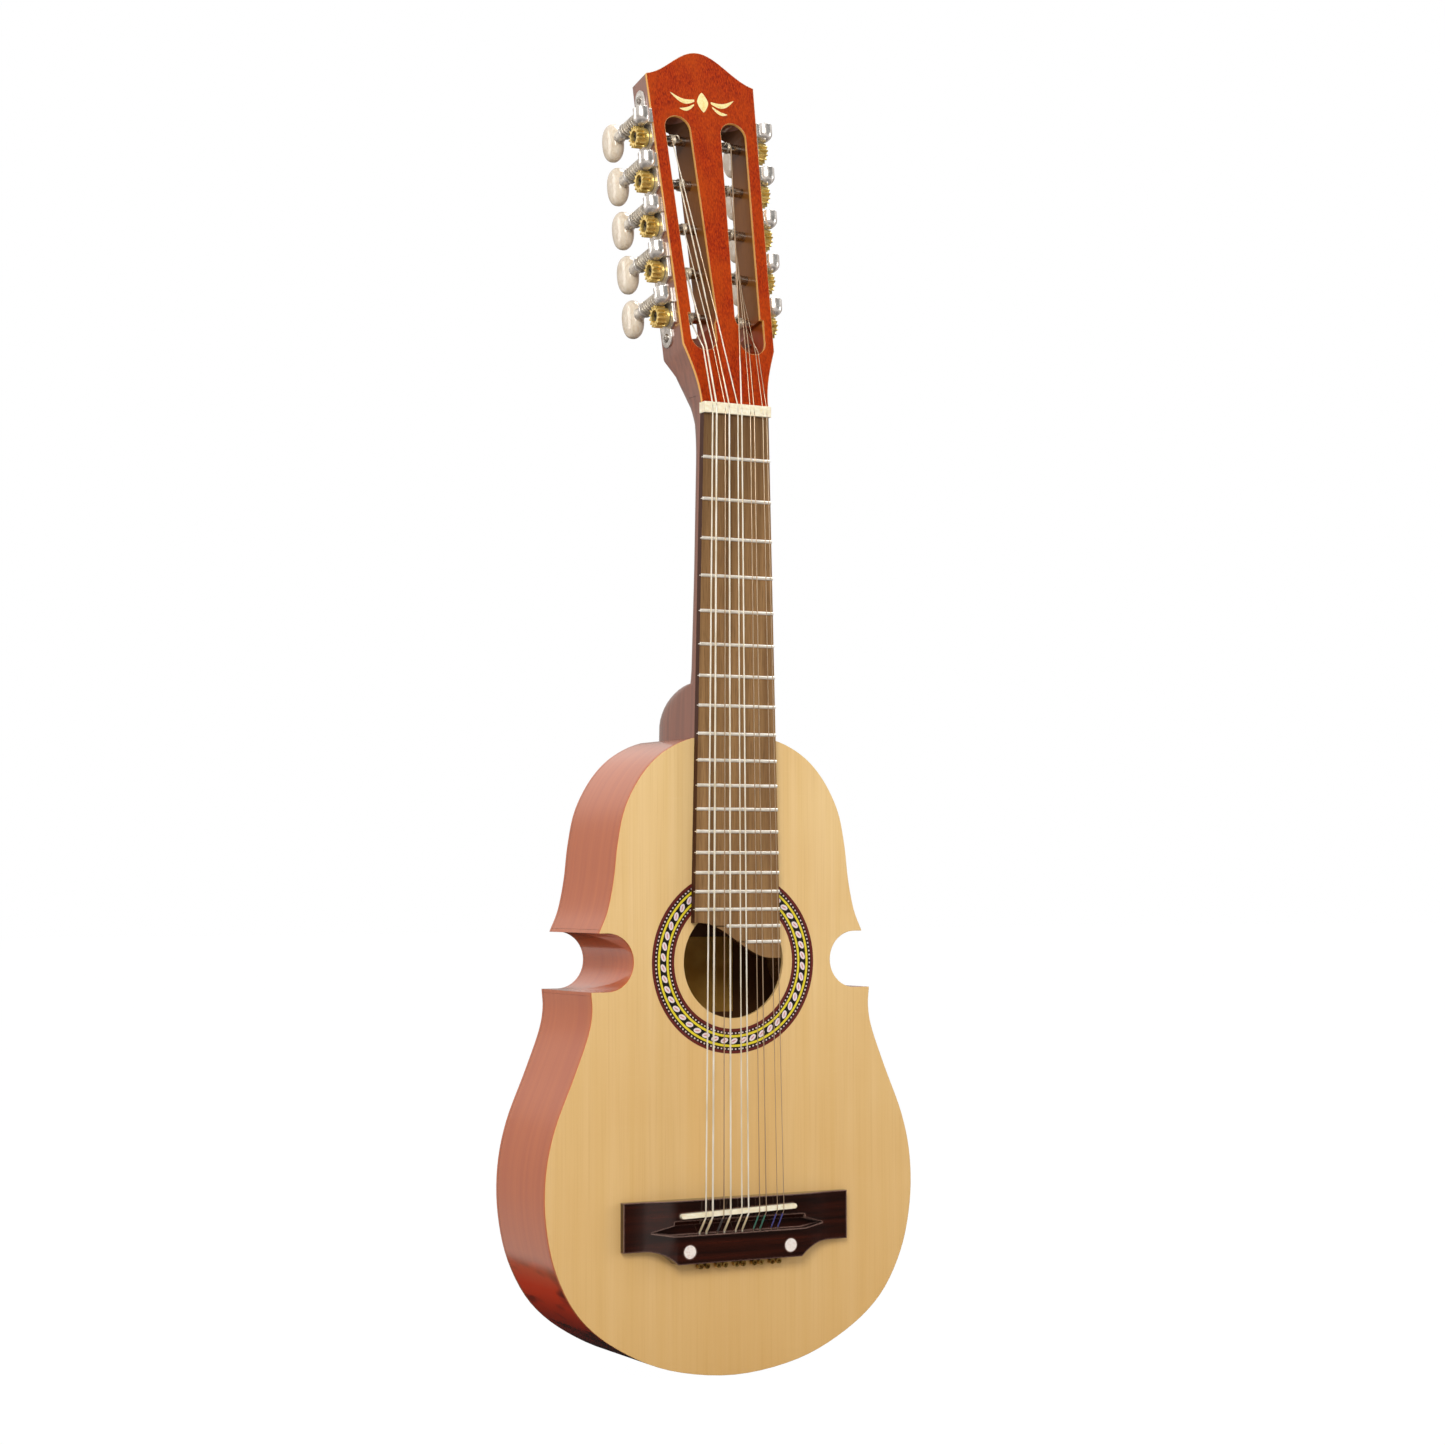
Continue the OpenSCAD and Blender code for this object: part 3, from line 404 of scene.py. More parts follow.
def rosette_inlay():
    """Rings drawn by radius and angle round the soundhole."""
    p = Paint("rosette_inlay")
    up, r = p.from_soundhole()
    turn = p.math("DIVIDE", p.math("ARCTAN2", up, p.x), 2 * math.pi)

    def place_in(count):
        """Place within one of count equal steps round the ring, from -0.5 to 0.5."""
        return p.math("SUBTRACT", p.math("FRACT", p.times(p.math("ADD", turn, 1.0), count)), 0.5)

    fibre = p.noise(p.vec(p.times(r, 1.5), p.times(turn, 40), 0.0), detail=2)
    colour = p.mix(fibre, srgb(86, 18, 12), srgb(116, 30, 20))
    for low, high in DARK_BANDS:
        colour = p.mix(p.between(r, low, high), colour, srgb(44, 10, 8))
    for low, high, count in SQUARE_ROWS:
        square = p.math("LESS_THAN", p.math("ABSOLUTE", place_in(count)), 0.2)
        colour = p.mix(p.times(square, p.between(r, low, high)), colour, srgb(236, 214, 208))
    colour = p.mix(p.between(r, *BLACK_BAND), colour, srgb(18, 12, 8))
    for low, high in YELLOW_RINGS:
        colour = p.mix(p.between(r, low, high), colour, srgb(232, 212, 40))
    # slanted ovals of pale shell with a rose flame in each
    along = p.times(place_in(OVALS), 2 * math.pi * OVALS_R / OVALS)
    out = p.math("SUBTRACT", r, OVALS_R)
    c, s = math.cos(OVALS_SLANT), math.sin(OVALS_SLANT)
    a = p.math("ADD", p.times(along, c), p.times(out, -s))
    b = p.math("ADD", p.times(along, s), p.times(out, c))

    def oval(half_long, half_wide):
        u, v = p.math("DIVIDE", a, half_long), p.math("DIVIDE", b, half_wide)
        return p.math("LESS_THAN", p.math("ADD", p.times(u, u), p.times(v, v)), 1.0)

    colour = p.mix(oval(2.75, 1.65), colour, srgb(240, 222, 222))
    colour = p.mix(p.times(oval(1.7, 0.42), 0.75), colour, srgb(206, 112, 118))
    return p.done(Base_Color=colour, Roughness=0.4, Normal=p.rounded(0.15), Coat_Weight=0.5,
                  Coat_Roughness=0.2)


# ---------------------------------------------------------------- bone, metal, plastic

def bone():
    p = Paint("bone")
    mottle = p.noise(p.point(0.35, 0.6, 0.6), detail=3)
    colour = p.ramp(mottle, (0.3, srgb(240, 226, 190)), (0.7, srgb(255, 249, 226)))
    normal = p.bump(mottle, 0.05, p.rounded(0.5), 0.2)
    return p.done(Base_Color=colour, Roughness=0.35, Normal=normal, Subsurface_Weight=0.1,
                  Subsurface_Radius=(0.8, 0.5, 0.3), Subsurface_Scale=MM, Coat_Weight=0.3,
                  Coat_Roughness=0.15)


def shell(name, pale, shade, swirl):
    """Pearly plastic: pale colours folded into each other. A higher swirl makes smaller folds."""
    p = Paint(name)
    fold = p.noise(p.point(swirl, swirl, swirl), detail=3, rough=0.55, distort=1.6)
    colour = p.ramp(fold, (0.32, shade), (0.55, pale), (0.75, shade))
    normal = p.bump(fold, 0.04, None, 0.15)
    return p.done(Base_Color=colour, Roughness=0.3, Normal=normal, Coat_Weight=0.7, Coat_Roughness=0.08,
                  Subsurface_Weight=0.12, Subsurface_Radius=(1.0, 0.8, 0.6), Subsurface_Scale=MM)


def metal(name, pale, worn, rough_low, rough_high, edge=0.3, shine=1.0):
    """Metal with worn patches. edge is the radius that edges look rounded to."""
    p = Paint(name)
    wear = p.noise(p.point(2.0, 2.0, 2.0), detail=4, rough=0.65)
    patch = p.noise(p.point(0.25, 0.25, 0.25), detail=2)
    colour = p.ramp(patch, (0.35, worn), (0.65, pale))
    dull = p.math("ADD", p.times(wear, 0.5), p.times(patch, 0.5))
    return p.done(Base_Color=colour, Metallic=shine, Normal=p.bump(wear, 0.02, p.rounded(edge), 0.3),
                  Roughness=p.span(dull, 0.35, 0.65, rough_low, rough_high))


def string_metal():
    """Wound strings are pale with fine ribs, plain ones are darker steel. X tells the strings apart."""
    p = Paint("string_metal")
    down = p.span(p.z, SCALE_LEN, 0)
    shift = p.span(down, 0, 1, *PAIR_SHIFT)
    step = p.span(down, 0, 1, *PAIR_STEP)
    pair = p.math("ADD", p.math("DIVIDE", p.math("SUBTRACT", p.x, shift), step), 2.5)
    number = p.math("FLOOR", p.times(pair, 2.0))
    wound = p.math("ADD", p.between(number, -0.5, 1.5), p.between(number, 2.5, 5.5), clamp=True)
    turns = p.math("SINE", p.times(p.z, 2 * math.pi / WINDING_PITCH))
    silver = p.ramp(p.noise(p.point(0.2, 0.2, 0.05), detail=2), (0.3, srgb(226, 212, 184)),
                    (0.7, srgb(255, 250, 236)))
    colour = p.mix(wound, srgb(214, 190, 160), silver)
    normal = p.bump(turns, 0.05, None, p.times(wound, 0.3))
    return p.done(Base_Color=colour, Metallic=p.span(wound, 0, 1, 1.0, 0.15), Normal=normal,
                  Roughness=p.span(wound, 0, 1, 0.3, 0.42))


def thread(name, pale, dark):
    """Silk thread wound tightly round a string's end."""
    p = Paint(name)
    turns = p.math("SINE", p.times(p.math("ADD", p.z, p.times(p.x, 0.3)), THREAD_TURN))
    colour = p.mix(p.span(turns, -0.6, 0.6), dark, pale)
    return p.done(Base_Color=colour, Roughness=0.6, Sheen_Weight=0.4,
                  Normal=p.bump(turns, 0.08, None, 0.6))


def paper():
    p = Paint("label_paper")
    fibre = p.noise(p.point(1.2, 1.2, 1.2), detail=4, rough=0.7)
    age = p.noise(p.point(0.05, 0.05, 0.05), detail=2)
    colour = p.ramp(age, (0.3, srgb(196, 140, 58)), (0.7, srgb(224, 172, 86)))
    colour = p.mix(p.span(fibre, 0.5, 0.7, 0, 0.25), colour, srgb(164, 112, 48))
    return p.done(Base_Color=colour, Roughness=0.85, Specular_IOR_Level=0.1,
                  Normal=p.bump(fibre, 0.05, None, 0.4))


LOOKS = {
    "spruce": spruce(),
    "rosette": rosette_inlay(),
    "rib": rib_wood(),
    "back": back_wood(),
    "inner_wood": inner_wood(),
    "neck_wood": neck_wood(),
    "veneer": veneer_wood(),
    "fretboard_wood": fretboard_wood(),
    "rosewood": bridge_wood(),
    "bone": bone(),
    "pearl": shell("pearl_dot", srgb(252, 244, 236), srgb(232, 214, 206), 0.5),
    "button": shell("button_pearloid", srgb(232, 219, 199), srgb(214, 196, 170), 0.16),
    "ornament": shell("ornament_shell", srgb(252, 238, 176), srgb(236, 208, 126), 0.4),
    "fret_wire": metal("fret_wire", srgb(252, 248, 238), srgb(236, 230, 216), 0.28, 0.4, shine=0.35),
    "chrome": metal("chrome_plate", srgb(232, 229, 224), srgb(208, 204, 198), 0.14, 0.3,
                    edge=0.7, shine=0.7),
    "steel": metal("post_steel", srgb(196, 190, 182), srgb(150, 144, 136), 0.16, 0.34),
    "worm": metal("worm_steel", srgb(226, 220, 208), srgb(194, 186, 174), 0.22, 0.4, shine=0.7),
    "gear": metal("gear_brass", srgb(240, 212, 132), srgb(210, 180, 100), 0.24, 0.42, shine=0.7),
    # the gear screws' steel, painted dark with the shade of the recesses they sit in
    "screw_in_painted_shade": metal("screw_steel_in_painted_shade", srgb(84, 78, 70), srgb(50, 46, 42), 0.35, 0.5),
    "brass": metal("ball_brass", srgb(214, 180, 104), srgb(158, 124, 62), 0.22, 0.4),
    "strings": string_metal(),
    "coil": metal("coil_wire", srgb(236, 226, 204), srgb(182, 172, 154), 0.25, 0.4, shine=0.5),
    "silk_cream": thread("silk_cream", srgb(250, 232, 190), srgb(206, 176, 126)),
    "silk_green": thread("silk_green", srgb(70, 160, 128), srgb(24, 82, 66)),
    "silk_dark": thread("silk_dark", srgb(70, 54, 44), srgb(34, 26, 22)),
    "silk_blue": thread("silk_blue", srgb(84, 84, 190), srgb(34, 30, 104)),
    "paper": paper(),
}

# which look each CAD node takes; tuner nodes go by the first word of their name
CAD_LOOKS = {
    "soundboard": "spruce", "rosette": "rosette", "back_plate": "back", "side_ribs": "rib",
    "body_blocks": "inner_wood", "linings": "inner_wood", "braces": "inner_wood", "neck": "neck_wood",
    "head_veneer": "veneer", "fretboard": "fretboard_wood", "frets": "fret_wire", "nut": "bone",
    "bridge": "rosewood", "saddle": "bone", "bridge_dots": "pearl", "bridge_bolts": "steel",
    "tuner_plates": "chrome", "tuner_screws": "steel", "strings": "strings", "ball_ends": "brass",
    "worm": "worm", "gear": "gear", "post": "steel", "button": "button",
}
# edges that turn by less than this, in degrees, are smoothed
SMOOTH_ANGLE = {"neck": 26, "gear": 20, "worm": 40, "strings": 70}
USUAL_ANGLE = 30
WELD_REACH = 1e-6


def split_edges(obj, angle):
    """Keeps the edges that turn by more than the angle sharp."""
    split = obj.modifiers.new("edges", "EDGE_SPLIT")
    split.split_angle = math.radians(angle)


def dress(name, obj):
    """Gives a CAD node its material and smooth shading."""
    kind = name if name in CAD_LOOKS else name.split("_")[0]
    mesh = obj.data
    mesh.materials.clear()
    mesh.materials.append(LOOKS[CAD_LOOKS[kind]])
    if "custom_normal" in mesh.attributes:
        mesh.attributes.remove(mesh.attributes["custom_normal"])
    for face in mesh.polygons:
        face.material_index = 0
        face.use_smooth = True
    weld = obj.modifiers.new("weld", "WELD")
    weld.merge_threshold = WELD_REACH
    split_edges(obj, SMOOTH_ANGLE.get(kind, USUAL_ANGLE))


for node_name, node_object in frame["nodes"].items():
    dress(node_name, node_object)


# ---------------------------------------------------------------- mesh helpers

def placed(name, data):
    """A new object in the scene."""
    obj = bpy.data.objects.new(name, data)
    bpy.context.scene.collection.objects.link(obj)
    return obj


def piece(name, shape, look, body, sharp=None):
    """A new piece that rides on a body. shape is its points, in millimetres in the part's frame, and
    its faces."""
    points, faces = shape
    mesh = bpy.data.meshes.new(name)
    mesh.from_pydata([Vector(p) * MM for p in points], [], faces)
    mesh.validate()
    mesh.materials.append(LOOKS[look])
    for face in mesh.polygons:
        face.use_smooth = True
    obj = placed(name, mesh)
    if sharp is not None:
        split_edges(obj, sharp)
    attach(obj, body)
    return obj


def rings_to_faces(rings, sides):
    """Faces that join rings of points and close both ends. Seen from the last ring, each ring is
    counter-clockwise."""
    faces = []
    for i in range(rings - 1):
        for j in range(sides):
            a, b = i * sides, (i + 1) * sides
            k = (j + 1) % sides
            faces.append((a + j, a + k, b + k, b + j))
    faces.append(tuple(reversed(range(sides))))
    last = (rings - 1) * sides
    faces.append(tuple(range(last, last + sides)))
    return faces


def tube(path, radius, sides):
    """Points and faces of a round bar along a path. radius is a number or one number a point."""
    path = [Vector(p) for p in path]
    radii = radius if isinstance(radius, (list, tuple)) else [radius] * len(path)
    tangents = [(path[min(i + 1, len(path) - 1)] - path[max(i - 1, 0)]).normalized()
                for i in range(len(path))]
    aside = tangents[0].orthogonal().normalized()
    points = []
    for place, tangent, r in zip(path, tangents, radii):
        aside = (aside - tangent * aside.dot(tangent)).normalized()
        up = tangent.cross(aside)
        for j in range(sides):
            turn = 2 * math.pi * j / sides
            points.append(place + (aside * math.cos(turn) + up * math.sin(turn)) * r)
    return points, rings_to_faces(len(path), sides)


def merged(*shells):
    """Several (points, faces) pairs as one."""
    points, faces = [], []
    for shell_points, shell_faces in shells:
        base = len(points)
        points += list(shell_points)
        faces += [tuple(i + base for i in f) for f in shell_faces]
    return points, faces


def across(axis):
    """Two directions square to an axis and to each other."""
    u = axis.orthogonal().normalized()
    return u, axis.cross(u)


def lathe(profile, origin, axis, sides):
    """A turned shape: profile holds (radius, height) pairs, from the axis back to the axis."""
    u, v = across(axis)
    points = []
    for r, h in profile:
        for j in range(sides):
            turn = 2 * math.pi * j / sides
            points.append(origin + axis * h + (u * math.cos(turn) + v * math.sin(turn)) * r)
    return points, rings_to_faces(len(profile), sides)


# ---------------------------------------------------------------- tuners

BUTTON_HALF = (12.9, 9.6, 5.6)   # half length, half width and half thickness of a button
BUTTON_RINGS, BUTTON_SIDES = 22, 44
# powers under 1 make a button fuller than an ellipsoid: its rings' size, their outline, its thickness
RING_POWER, OUTLINE_POWER, THICK_POWER = 0.6, 0.88, 0.8
SCREW_R, SCREW_HEIGHT, SCREW_SLOT = 3.4, 1.3, 0.9
SCREW_IN = 2.9                   # from a gear's outer face in to its screw's seat
SCREW_STEPS = 14
SCREW_TOP = 0.86                 # the screw's top face, as a share of its outline
AXIS_R = 0.01                    # how near a turned shape's ends come to its axis
POST_R = 3.2
HUB_IN = 1.6                     # from the inner face of a gear's hub in to the head's edge
HOLE_IN = 22.0                   # from the head's edge in to a post's string hole
COIL_IN = {1: 16.5, 2: 18.5, 3: 17.5, 4: 15.5, 5: 13.5}   # and in to where each string lands
COIL_TURNS = 3.25
TURN_STEPS = 20
COIL_GAP = 0.04                  # between a post and the wire round it
COIL_PITCH = 2.06                # from turn to turn, as a multiple of the wire's radius
CURL_STEPS, CURL_R = 9, 1.5
CURL_TURN = math.radians(230)
CURL_SPREAD = 0.35               # how far the curl moves sideways in a step
CURL_OUT = 0.3                   # from a post to where the curl starts
WIRE_R = {"l5": 0.5, "l4": 0.55, "l3": 0.36, "l2": 0.5, "l1": 0.42,
          "r1": 0.25, "r2": 0.26, "r3": 0.3, "r4": 0.34, "r5": 0.45}
WIRE_SIDES = 8


def centre_of(node):
    low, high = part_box(node)
    return (low + high) / 2 / MM


def axis_of(name):
    """A point on a joint's axis, and the axis."""
    joint = JOINTS[name]
    return Vector(joint["pos_m"]) / MM, Vector(joint["axis"]).normalized()


def post_of(key):
    """A point on a post's axis, and the axis, pointing away from the head's middle."""
    origin, axis = axis_of(f"spindle_turn_{key}")
    return origin, axis if axis.x * SIDES[key[0]] > 0 else -axis


def gear_reach(key):
    """How far a gear's inner and outer ends are from the centre line."""
    return sorted(abs(corner.x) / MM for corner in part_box(f"gear_{key}"))


def along_post(key, reach):
    """The point on a post's axis at a distance from the centre line."""
    origin, outward = post_of(key)
    return origin + outward * ((reach - abs(origin.x)) / abs(outward.x))


def power(value, exponent):
    return math.copysign(abs(value) ** exponent, value)


def button_shape(centre, along, shaft, flat):
    """A pillow-shaped oval: along is its long axis, shaft its width, flat its thickness."""
    points = []
    for i in range(BUTTON_RINGS + 1):
        lift = math.pi * (i / BUTTON_RINGS - 0.5)
        for j in range(BUTTON_SIDES):
            turn = 2 * math.pi * j / BUTTON_SIDES
            ring = power(math.cos(lift), RING_POWER)
            u = ring * power(math.cos(turn), OUTLINE_POWER)
            v = ring * power(math.sin(turn), OUTLINE_POWER)
            w = power(math.sin(lift), THICK_POWER)
            points.append(centre + along * u * BUTTON_HALF[0] + shaft * v * BUTTON_HALF[1]
                          + flat * w * BUTTON_HALF[2])
    return points, rings_to_faces(BUTTON_RINGS + 1, BUTTON_SIDES)


def screw_shape(seat, axis):
    """A slotted screw head on its seat: a round base, and two half discs with the slot between them."""
    u, v = across(axis)
    half_slot = SCREW_SLOT / 2
    middle = SCREW_HEIGHT * 0.5
    base = [(AXIS_R, 0), (SCREW_R, 0), (SCREW_R, middle), (AXIS_R, middle)]
    shells = [lathe(base, seat, axis, 28)]
    start = math.asin(half_slot / SCREW_R)
    for side in (1, -1):
        outline = []
        for i in range(SCREW_STEPS + 1):
            turn = start + (math.pi - 2 * start) * i / SCREW_STEPS
            outline.append((SCREW_R * math.cos(turn), side * SCREW_R * math.sin(turn)))
        if side < 0:
            outline.reverse()
        shift = side * half_slot * (1 - SCREW_TOP)
        inner = [(x * SCREW_TOP, y * SCREW_TOP + shift) for x, y in outline]
        rings = [(outline, 0.4), (outline, 0.8), (inner, 1.0)]
        points = [seat + u * x + v * y + axis * (SCREW_HEIGHT * h) for ring, h in rings for x, y in ring]
        shells.append((points, rings_to_faces(len(rings), len(outline))))
    return merged(*shells)


def coil_shape(key, rank):
    """The turns a string makes round its post, and the end that leaves through the post's hole."""
    _, outward = post_of(key)
    wire = WIRE_R[key]
    edge = along_post(key, gear_reach(key)[0] - HUB_IN)
    front = Vector((0, -1, 0))
    front = (front - outward * front.dot(outward)).normalized()
    up = Vector((0, 0, 1)) - outward * outward.z
    up = (up - front * up.dot(front)).normalized()
    reach = POST_R + wire + COIL_GAP
    pitch = COIL_PITCH * wire
    start = edge - outward * COIL_IN[rank]
    path = []
    for i in range(int(COIL_TURNS * TURN_STEPS) + 1):
        turn = 2 * math.pi * i / TURN_STEPS
        path.append(start - outward * (pitch * i / TURN_STEPS)
                    + (front * math.cos(turn) + up * math.sin(turn)) * reach)
    # from the last turn across to the hole and through it
    hole = edge - outward * HOLE_IN
    entry = hole - front * (POST_R + 1.2)
    path.append(path[-1] + (hole - start) * 0.35 + up * 0.2)
    path.append(hole - front * (POST_R + 0.6) + up * 0.8)
    path.append(entry)
    tail = [entry, hole - front * (POST_R * 0.4), hole + front * (POST_R + CURL_OUT)]
    # the cut end curls back over the post
    for i in range(1, CURL_STEPS + 1):
        turn = CURL_TURN * i / CURL_STEPS
        tail.append(hole + outward * (CURL_SPREAD * i) + up * CURL_R * (1 - math.cos(turn))
                    + front * (POST_R + CURL_OUT + CURL_R * math.sin(turn)))
    return merged(tube(path, wire, WIRE_SIDES), tube(tail, wire * 0.9, WIRE_SIDES))


def add_tuners(side):
    """The buttons, gear screws and string windings of one side's five tuners."""
    row_up = (centre_of(f"button_{side}1") - centre_of(f"button_{side}5")).normalized()
    for rank in RANKS:
        key = f"{side}{rank}"
        _, shaft = axis_of(f"knob_turn_{key}")
        along = (row_up - shaft * row_up.dot(shaft)).normalized()
        flat = along.cross(shaft).normalized()
        shape = button_shape(centre_of(f"button_{key}"), along, shaft, flat)
        button = piece(f"tuner_button_{key}", shape, "button", f"knob_{key}")
        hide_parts(f"button_{key}")

        # each gear's screw sits in a recess, and its dark steel is painted shade
        shape = screw_shape(along_post(key, gear_reach(key)[1] - SCREW_IN), post_of(key)[1])
        piece(f"gear_screw_{key}", shape, "screw_in_painted_shade", f"spindle_{key}", sharp=30)

        shape = coil_shape(key, rank)
        piece(f"string_coil_{key}", shape, "coil", f"spindle_{key}", sharp=60)


for side_name in SIDES:
    add_tuners(side_name)


# ---------------------------------------------------------------- silk wraps behind the saddle

# from the bass side
STRING_R = (0.5, 0.62, 0.36, 0.55, 0.42, 0.48, 0.3, 0.32, 0.25, 0.25)
SILKS = ("cream", "cream", "dark", "cream", "cream", "cream", "green", "green", "blue", "blue")
SILK_THICK = 0.16
PAIR_GAP = 4.8                   # between the two strings of a pair, at the saddle
SADDLE_TOP_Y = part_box("saddle")[0].y / MM
SADDLE_LEAN = math.radians(1.7)
SADDLE_PIVOT_X = -2              # where the leaning saddle crosses its crest's usual height
SADDLE_CREST_Z = -1.7
TIE_Y, TIE_Z = -79.6, -12.5      # where the strings reach the tie block


def silk_shape(i):
    """The wrap on string i, from just behind the saddle down to the tie block."""
    x = (i // 2 - 2) * PAIR_STEP[1] + (i % 2 - 0.5) * PAIR_GAP + PAIR_SHIFT[1]
    crest_z = (x - SADDLE_PIVOT_X) * math.tan(SADDLE_LEAN) + SADDLE_CREST_Z
    top = Vector((x, SADDLE_TOP_Y - STRING_R[i] - 0.03, crest_z))
    foot = Vector((x, TIE_Y, TIE_Z))
    radius = STRING_R[i] + SILK_THICK
    path = [top.lerp(foot, t) for t in (0.2, 0.24, 0.5, 0.8, 1.0)]
    return tube(path, [radius * 0.8] + [radius] * 4, 12)


for i, silk in enumerate(SILKS):
    piece(f"string_silk_{i + 1}", silk_shape(i), f"silk_{silk}", ROOT, sharp=50)


# ---------------------------------------------------------------- blank label on the back's inside

LABEL_HALF_X, LABEL_LOW, LABEL_HIGH = 38, 122, 172
LABEL_COLUMNS, LABEL_ROWS = 24, 16
# the under and upper faces: their distance from the back, and how far they wave
LABEL_FACES = ((0.17, 0.0), (0.37, 0.08))


def label_shape():
    points = []
    for gap, wave in LABEL_FACES:
        for r in range(LABEL_ROWS + 1):
            for c in range(LABEL_COLUMNS + 1):
                x = LABEL_HALF_X * (2 * c / LABEL_COLUMNS - 1)
                z = LABEL_LOW + (LABEL_HIGH - LABEL_LOW) * r / LABEL_ROWS
                curl = wave * math.sin(x * 0.21 + 0.6) * math.sin(z * 0.17)
                points.append((x, BACK_INNER_Y - gap - curl, z))
    width = LABEL_COLUMNS + 1
    layer = width * (LABEL_ROWS + 1)
    faces = []
    for r in range(LABEL_ROWS):
        for c in range(LABEL_COLUMNS):
            a = r * width + c
            faces.append((a, a + width, a + width + 1, a + 1))
            faces.append((layer + a, layer + a + 1, layer + a + width + 1, layer + a + width))
    low, right = list(range(LABEL_COLUMNS)), [LABEL_COLUMNS + r * width for r in range(LABEL_ROWS)]
    high = [LABEL_ROWS * width + c for c in range(LABEL_COLUMNS, 0, -1)]
    left = [r * width for r in range(LABEL_ROWS, 0, -1)]
    rim = low + right + high + left
    for a, b in zip(rim, rim[1:] + rim[:1]):
        faces.append((a, b, layer + b, layer + a))
    return points, faces


piece("blank_label", label_shape(), "paper", ROOT, sharp=40)


# ---------------------------------------------------------------- ornament on the head

# the head's face: its tilt, a point low on it, and its directions up and out
HEAD_TILT = math.radians(12.3)
HEAD_FOOT = Vector((0, -80.5, 515))
HEAD_UP = Vector((0, math.sin(HEAD_TILT), math.cos(HEAD_TILT)))
HEAD_OUT = Vector((0, -math.cos(HEAD_TILT), math.sin(HEAD_TILT)))
INLAY_LIFT, INLAY_DEPTH = 0.12, 0.3
ORNAMENT_S = 217                 # the ornament's height up the face
LOZENGE_HALF = (4.2, 7.2)
LOZENGE_STEPS, LEAF_STEPS = 32, 16
# root and tip as (x, height over the ornament's middle), half width and bend
LEAVES = (((6.2, 0.5), (24, 4.5), 1.7, -3.2), ((6.8, -2.6), (18, -6.5), 1.3, -1.8))


def on_head(x, s, lift):
    """The point at x and a height s up the head's face, lifted off it."""
    return HEAD_FOOT + Vector((x, 0, 0)) + HEAD_UP * s + HEAD_OUT * lift


def inlay(outline):
    """A thin inlay from an outline of (x, s) points on the head's face, with softened edges."""
    n = len(outline)
    cx = sum(x for x, _ in outline) / n
    cs = sum(s for _, s in outline) / n
    inner = [(cx + (x - cx) * 0.93, cs + (s - cs) * 0.93) for x, s in outline]
    rings = [(outline, -INLAY_DEPTH), (outline, INLAY_LIFT * 0.5), (inner, INLAY_LIFT)]
    points = [on_head(x, s, h) for ring, h in rings for x, s in ring]
    return points, rings_to_faces(len(rings), n)


def lozenge():
    """Outline of a lozenge with hollow sides."""
    outline = []
    for i in range(LOZENGE_STEPS):
        turn = 2 * math.pi * i / LOZENGE_STEPS
        outline.append((LOZENGE_HALF[0] * power(math.cos(turn), 1.5),
                        ORNAMENT_S + LOZENGE_HALF[1] * power(math.sin(turn), 1.5)))
    return outline


def leaf(side, root, tip, width, bend):
    """Outline of a curved, tapering leaf."""
    upper, lower = [], []
    for i in range(LEAF_STEPS + 1):
        t = i / LEAF_STEPS
        x = root[0] + (tip[0] - root[0]) * t
        s = ORNAMENT_S + root[1] + (tip[1] - root[1]) * t + bend * math.sin(math.pi * t)
        half = width * math.sin(math.pi * min(1, t * 0.9 + 0.1)) ** 0.8
        upper.append((side * x, s + half))
        lower.append((side * x, s - half))
    outline = upper + lower[::-1][1:]
    return outline if side < 0 else outline[::-1]


ornament = [inlay(lozenge())] + [inlay(leaf(side, *form)) for side in (-1, 1) for form in LEAVES]
piece("head_ornament", merged(*ornament), "ornament", ROOT, sharp=25)


# ---------------------------------------------------------------- floor

FLOOR_HALF = 14.0                # metres
FLOOR_GAP = 0.5                  # under the object


def stage_material(name, seen, bounced):
    """A surface that the camera sees in one colour and that lights the object with another."""
    p = Paint(name)
    glow = p.add("ShaderNodeEmission")
    p.feed(glow.inputs["Color"], seen)
    matt = p.add("ShaderNodeBsdfDiffuse")
    p.feed(matt.inputs["Color"], bounced)
    to_camera = p.times(p.ray("Is Camera Ray"), 0.97)
    return p.output(p.blend(to_camera, matt.outputs[0], glow.outputs[0]))


def add_floor():
    z = CAD_BOX[0][2] - FLOOR_GAP * MM
    corners = [(-1, -1), (1, -1), (1, 1), (-1, 1)]
    mesh = bpy.data.meshes.new("floor")
    mesh.from_pydata([(x * FLOOR_HALF, y * FLOOR_HALF, z) for x, y in corners], [], [(0, 1, 2, 3)])
    mesh.materials.append(stage_material("floor_pale", (1.03, 1.03, 1.03, 1.0), (0.38, 0.36, 0.34, 1.0)))
    floor = placed("floor", mesh)
    floor.visible_glossy = False


add_floor()


# ---------------------------------------------------------------- sky

class Sky(Nodes):
    """A world whose colours depend on the direction."""

    def __init__(self, name):
        world = bpy.data.worlds.new(name)
        bpy.context.scene.world = world
        super().__init__(world)
        self.way = self.add("ShaderNodeTexCoord").outputs["Generated"]
        self.height = self.span(self.split(self.way)[2], -1, 1)

    def tones(self, *stops):
        """A colour that runs from straight down at 0 to straight up at 1, by (place, (r, g, b)) stops."""
        return self.ramp(self.height, *((place, (*tone, 1)) for place, tone in stops))

    def shaded(self, colour, towards, start, end, least):
        """A colour darkened to least within a cone. start and end are cosines from its axis."""
        turned = self.dot(self.way, Vector(towards).normalized())
        dim = self.span(turned, start, end, 1.0, least, "SMOOTHSTEP")
        return self.mix(1.0, colour, dim, "MULTIPLY")

    def background(self, colour, strength):
        node = self.add("ShaderNodeBackground")
        self.feed(node.inputs["Color"], colour)
        self.feed(node.inputs["Strength"], strength)
        return node.outputs[0]


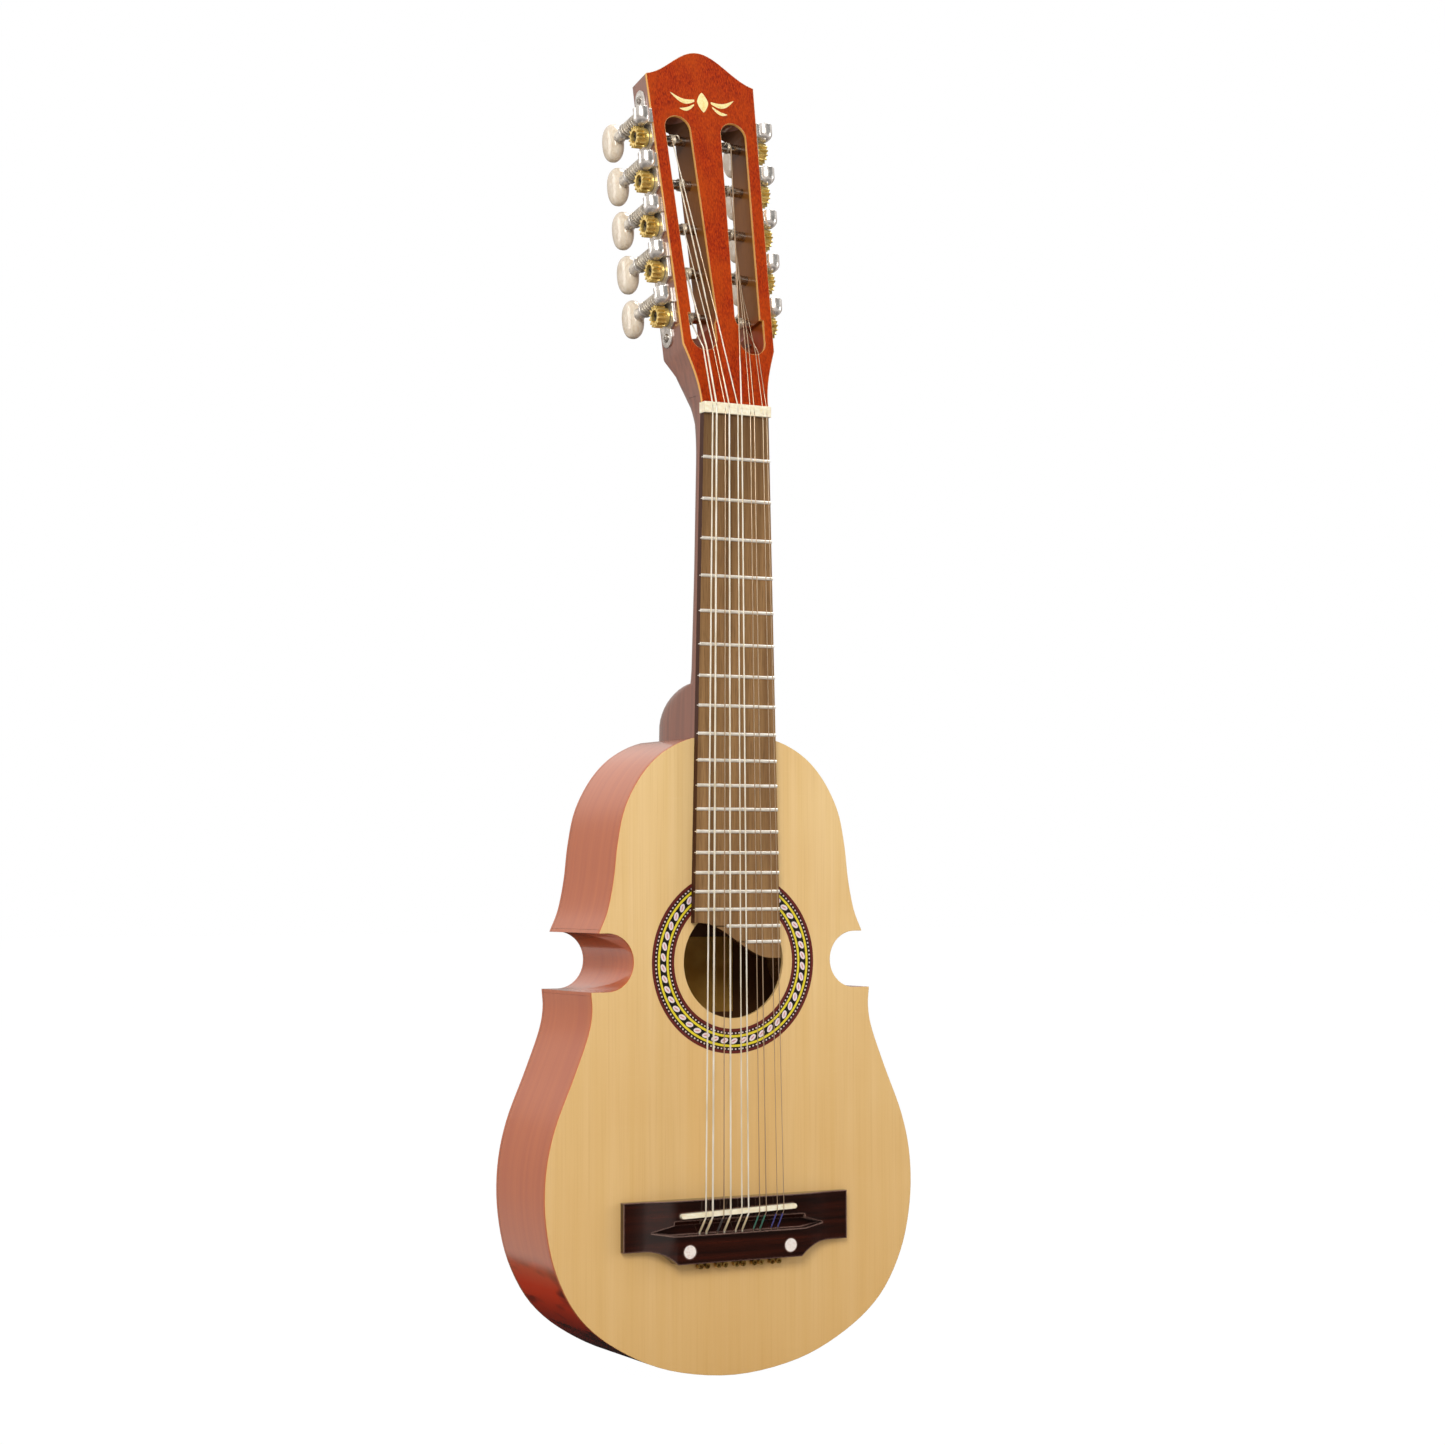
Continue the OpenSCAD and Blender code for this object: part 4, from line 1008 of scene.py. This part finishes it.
def add_sky():
    """A soft sky that lights the object, another that it mirrors, and white behind it."""
    sky = Sky("studio")
    soft = sky.tones((0.0, (0.22, 0.20, 0.19)), (0.40, (0.34, 0.32, 0.30)), (0.47, (0.90, 0.88, 0.85)),
                     (0.57, (0.98, 0.96, 0.93)), (0.68, (0.40, 0.40, 0.41)), (1.0, (0.34, 0.34, 0.36)))
    mirrored = sky.tones((0.0, (0.10, 0.08, 0.07)), (0.16, (0.16, 0.13, 0.12)),
                         (0.28, (0.68, 0.62, 0.59)), (0.44, (0.47, 0.41, 0.38)),
                         (0.58, (0.38, 0.33, 0.30)), (0.70, (0.84, 0.78, 0.74)),
                         (1.0, (1.0, 0.98, 0.96)))
    # the sky that the flat front mirrors is dark, so that the front keeps its own colours; so is the
    # sky that the tail mirrors
    mirrored = sky.shaded(mirrored, (0.60, -0.74, 0.30), 0.76, 0.88, 0.06)
    mirrored = sky.shaded(mirrored, (0.22, 0.87, -0.40), 0.88, 0.91, 0.03)
    white = sky.background((1, 1, 1, 1), 1.0)
    lit = sky.blend(sky.ray("Is Glossy Ray"), sky.background(soft, 0.97), sky.background(mirrored, 1.0))
    seen = sky.blend(sky.ray("Is Camera Ray"), lit, white)
    sky.feed(sky.add("ShaderNodeOutputWorld").inputs[0], seen)


add_sky()


# ---------------------------------------------------------------- lights and camera, in metres

LIGHTS_AIM = (0, -0.05, 0.3)
# place, size, watts and colour
LIGHTS = {
    "key": ((-1.1, -1.7, 1.35), (1.0, 0.9), 30, (1.0, 0.98, 0.95)),
    "fill": ((2.1, -0.9, 0.6), (0.8, 1.2), 14, (1.0, 0.99, 0.97)),
    "top": ((0.8, 0.1, 2.2), (1.1, 0.8), 26, (1.0, 0.99, 0.97)),
    "rim": ((-1.6, 1.2, 1.0), (1.0, 1.4), 12, (1.0, 0.98, 0.96)),
}
CAMERA_PLACE = (-0.83846, -1.64672, 0.20874)
YAW, PITCH, ROLL = (math.radians(a) for a in (-27.87, 3.29, 0.10))
LENS, SENSOR = 68.94, 36.0


def add_light(name, place, size, watts, colour):
    data = bpy.data.lights.new(name, "AREA")
    data.shape = "RECTANGLE"
    data.size, data.size_y = size
    data.energy = watts
    data.color = colour
    light = placed(name, data)
    light.location = place
    light.rotation_mode = "QUATERNION"
    light.rotation_quaternion = (Vector(LIGHTS_AIM) - Vector(place)).to_track_quat("-Z", "Y")


def add_camera():
    data = bpy.data.cameras.new("camera")
    data.lens = LENS
    data.sensor_width = SENSOR
    data.clip_start = 0.05
    data.clip_end = 60.0
    camera = placed("camera", data)
    turn = (Matrix.Rotation(YAW, 4, "Z") @ Matrix.Rotation(PITCH, 4, "X") @ Matrix.Rotation(ROLL, 4, "Y")
            @ Matrix.Rotation(math.radians(90), 4, "X"))
    camera.matrix_world = Matrix.Translation(CAMERA_PLACE) @ turn
    bpy.context.scene.camera = camera


for light_name, light_values in LIGHTS.items():
    add_light(light_name, *light_values)
add_camera()

settings = bpy.context.scene.view_settings
settings.view_transform = "Standard"
settings.look = "None"
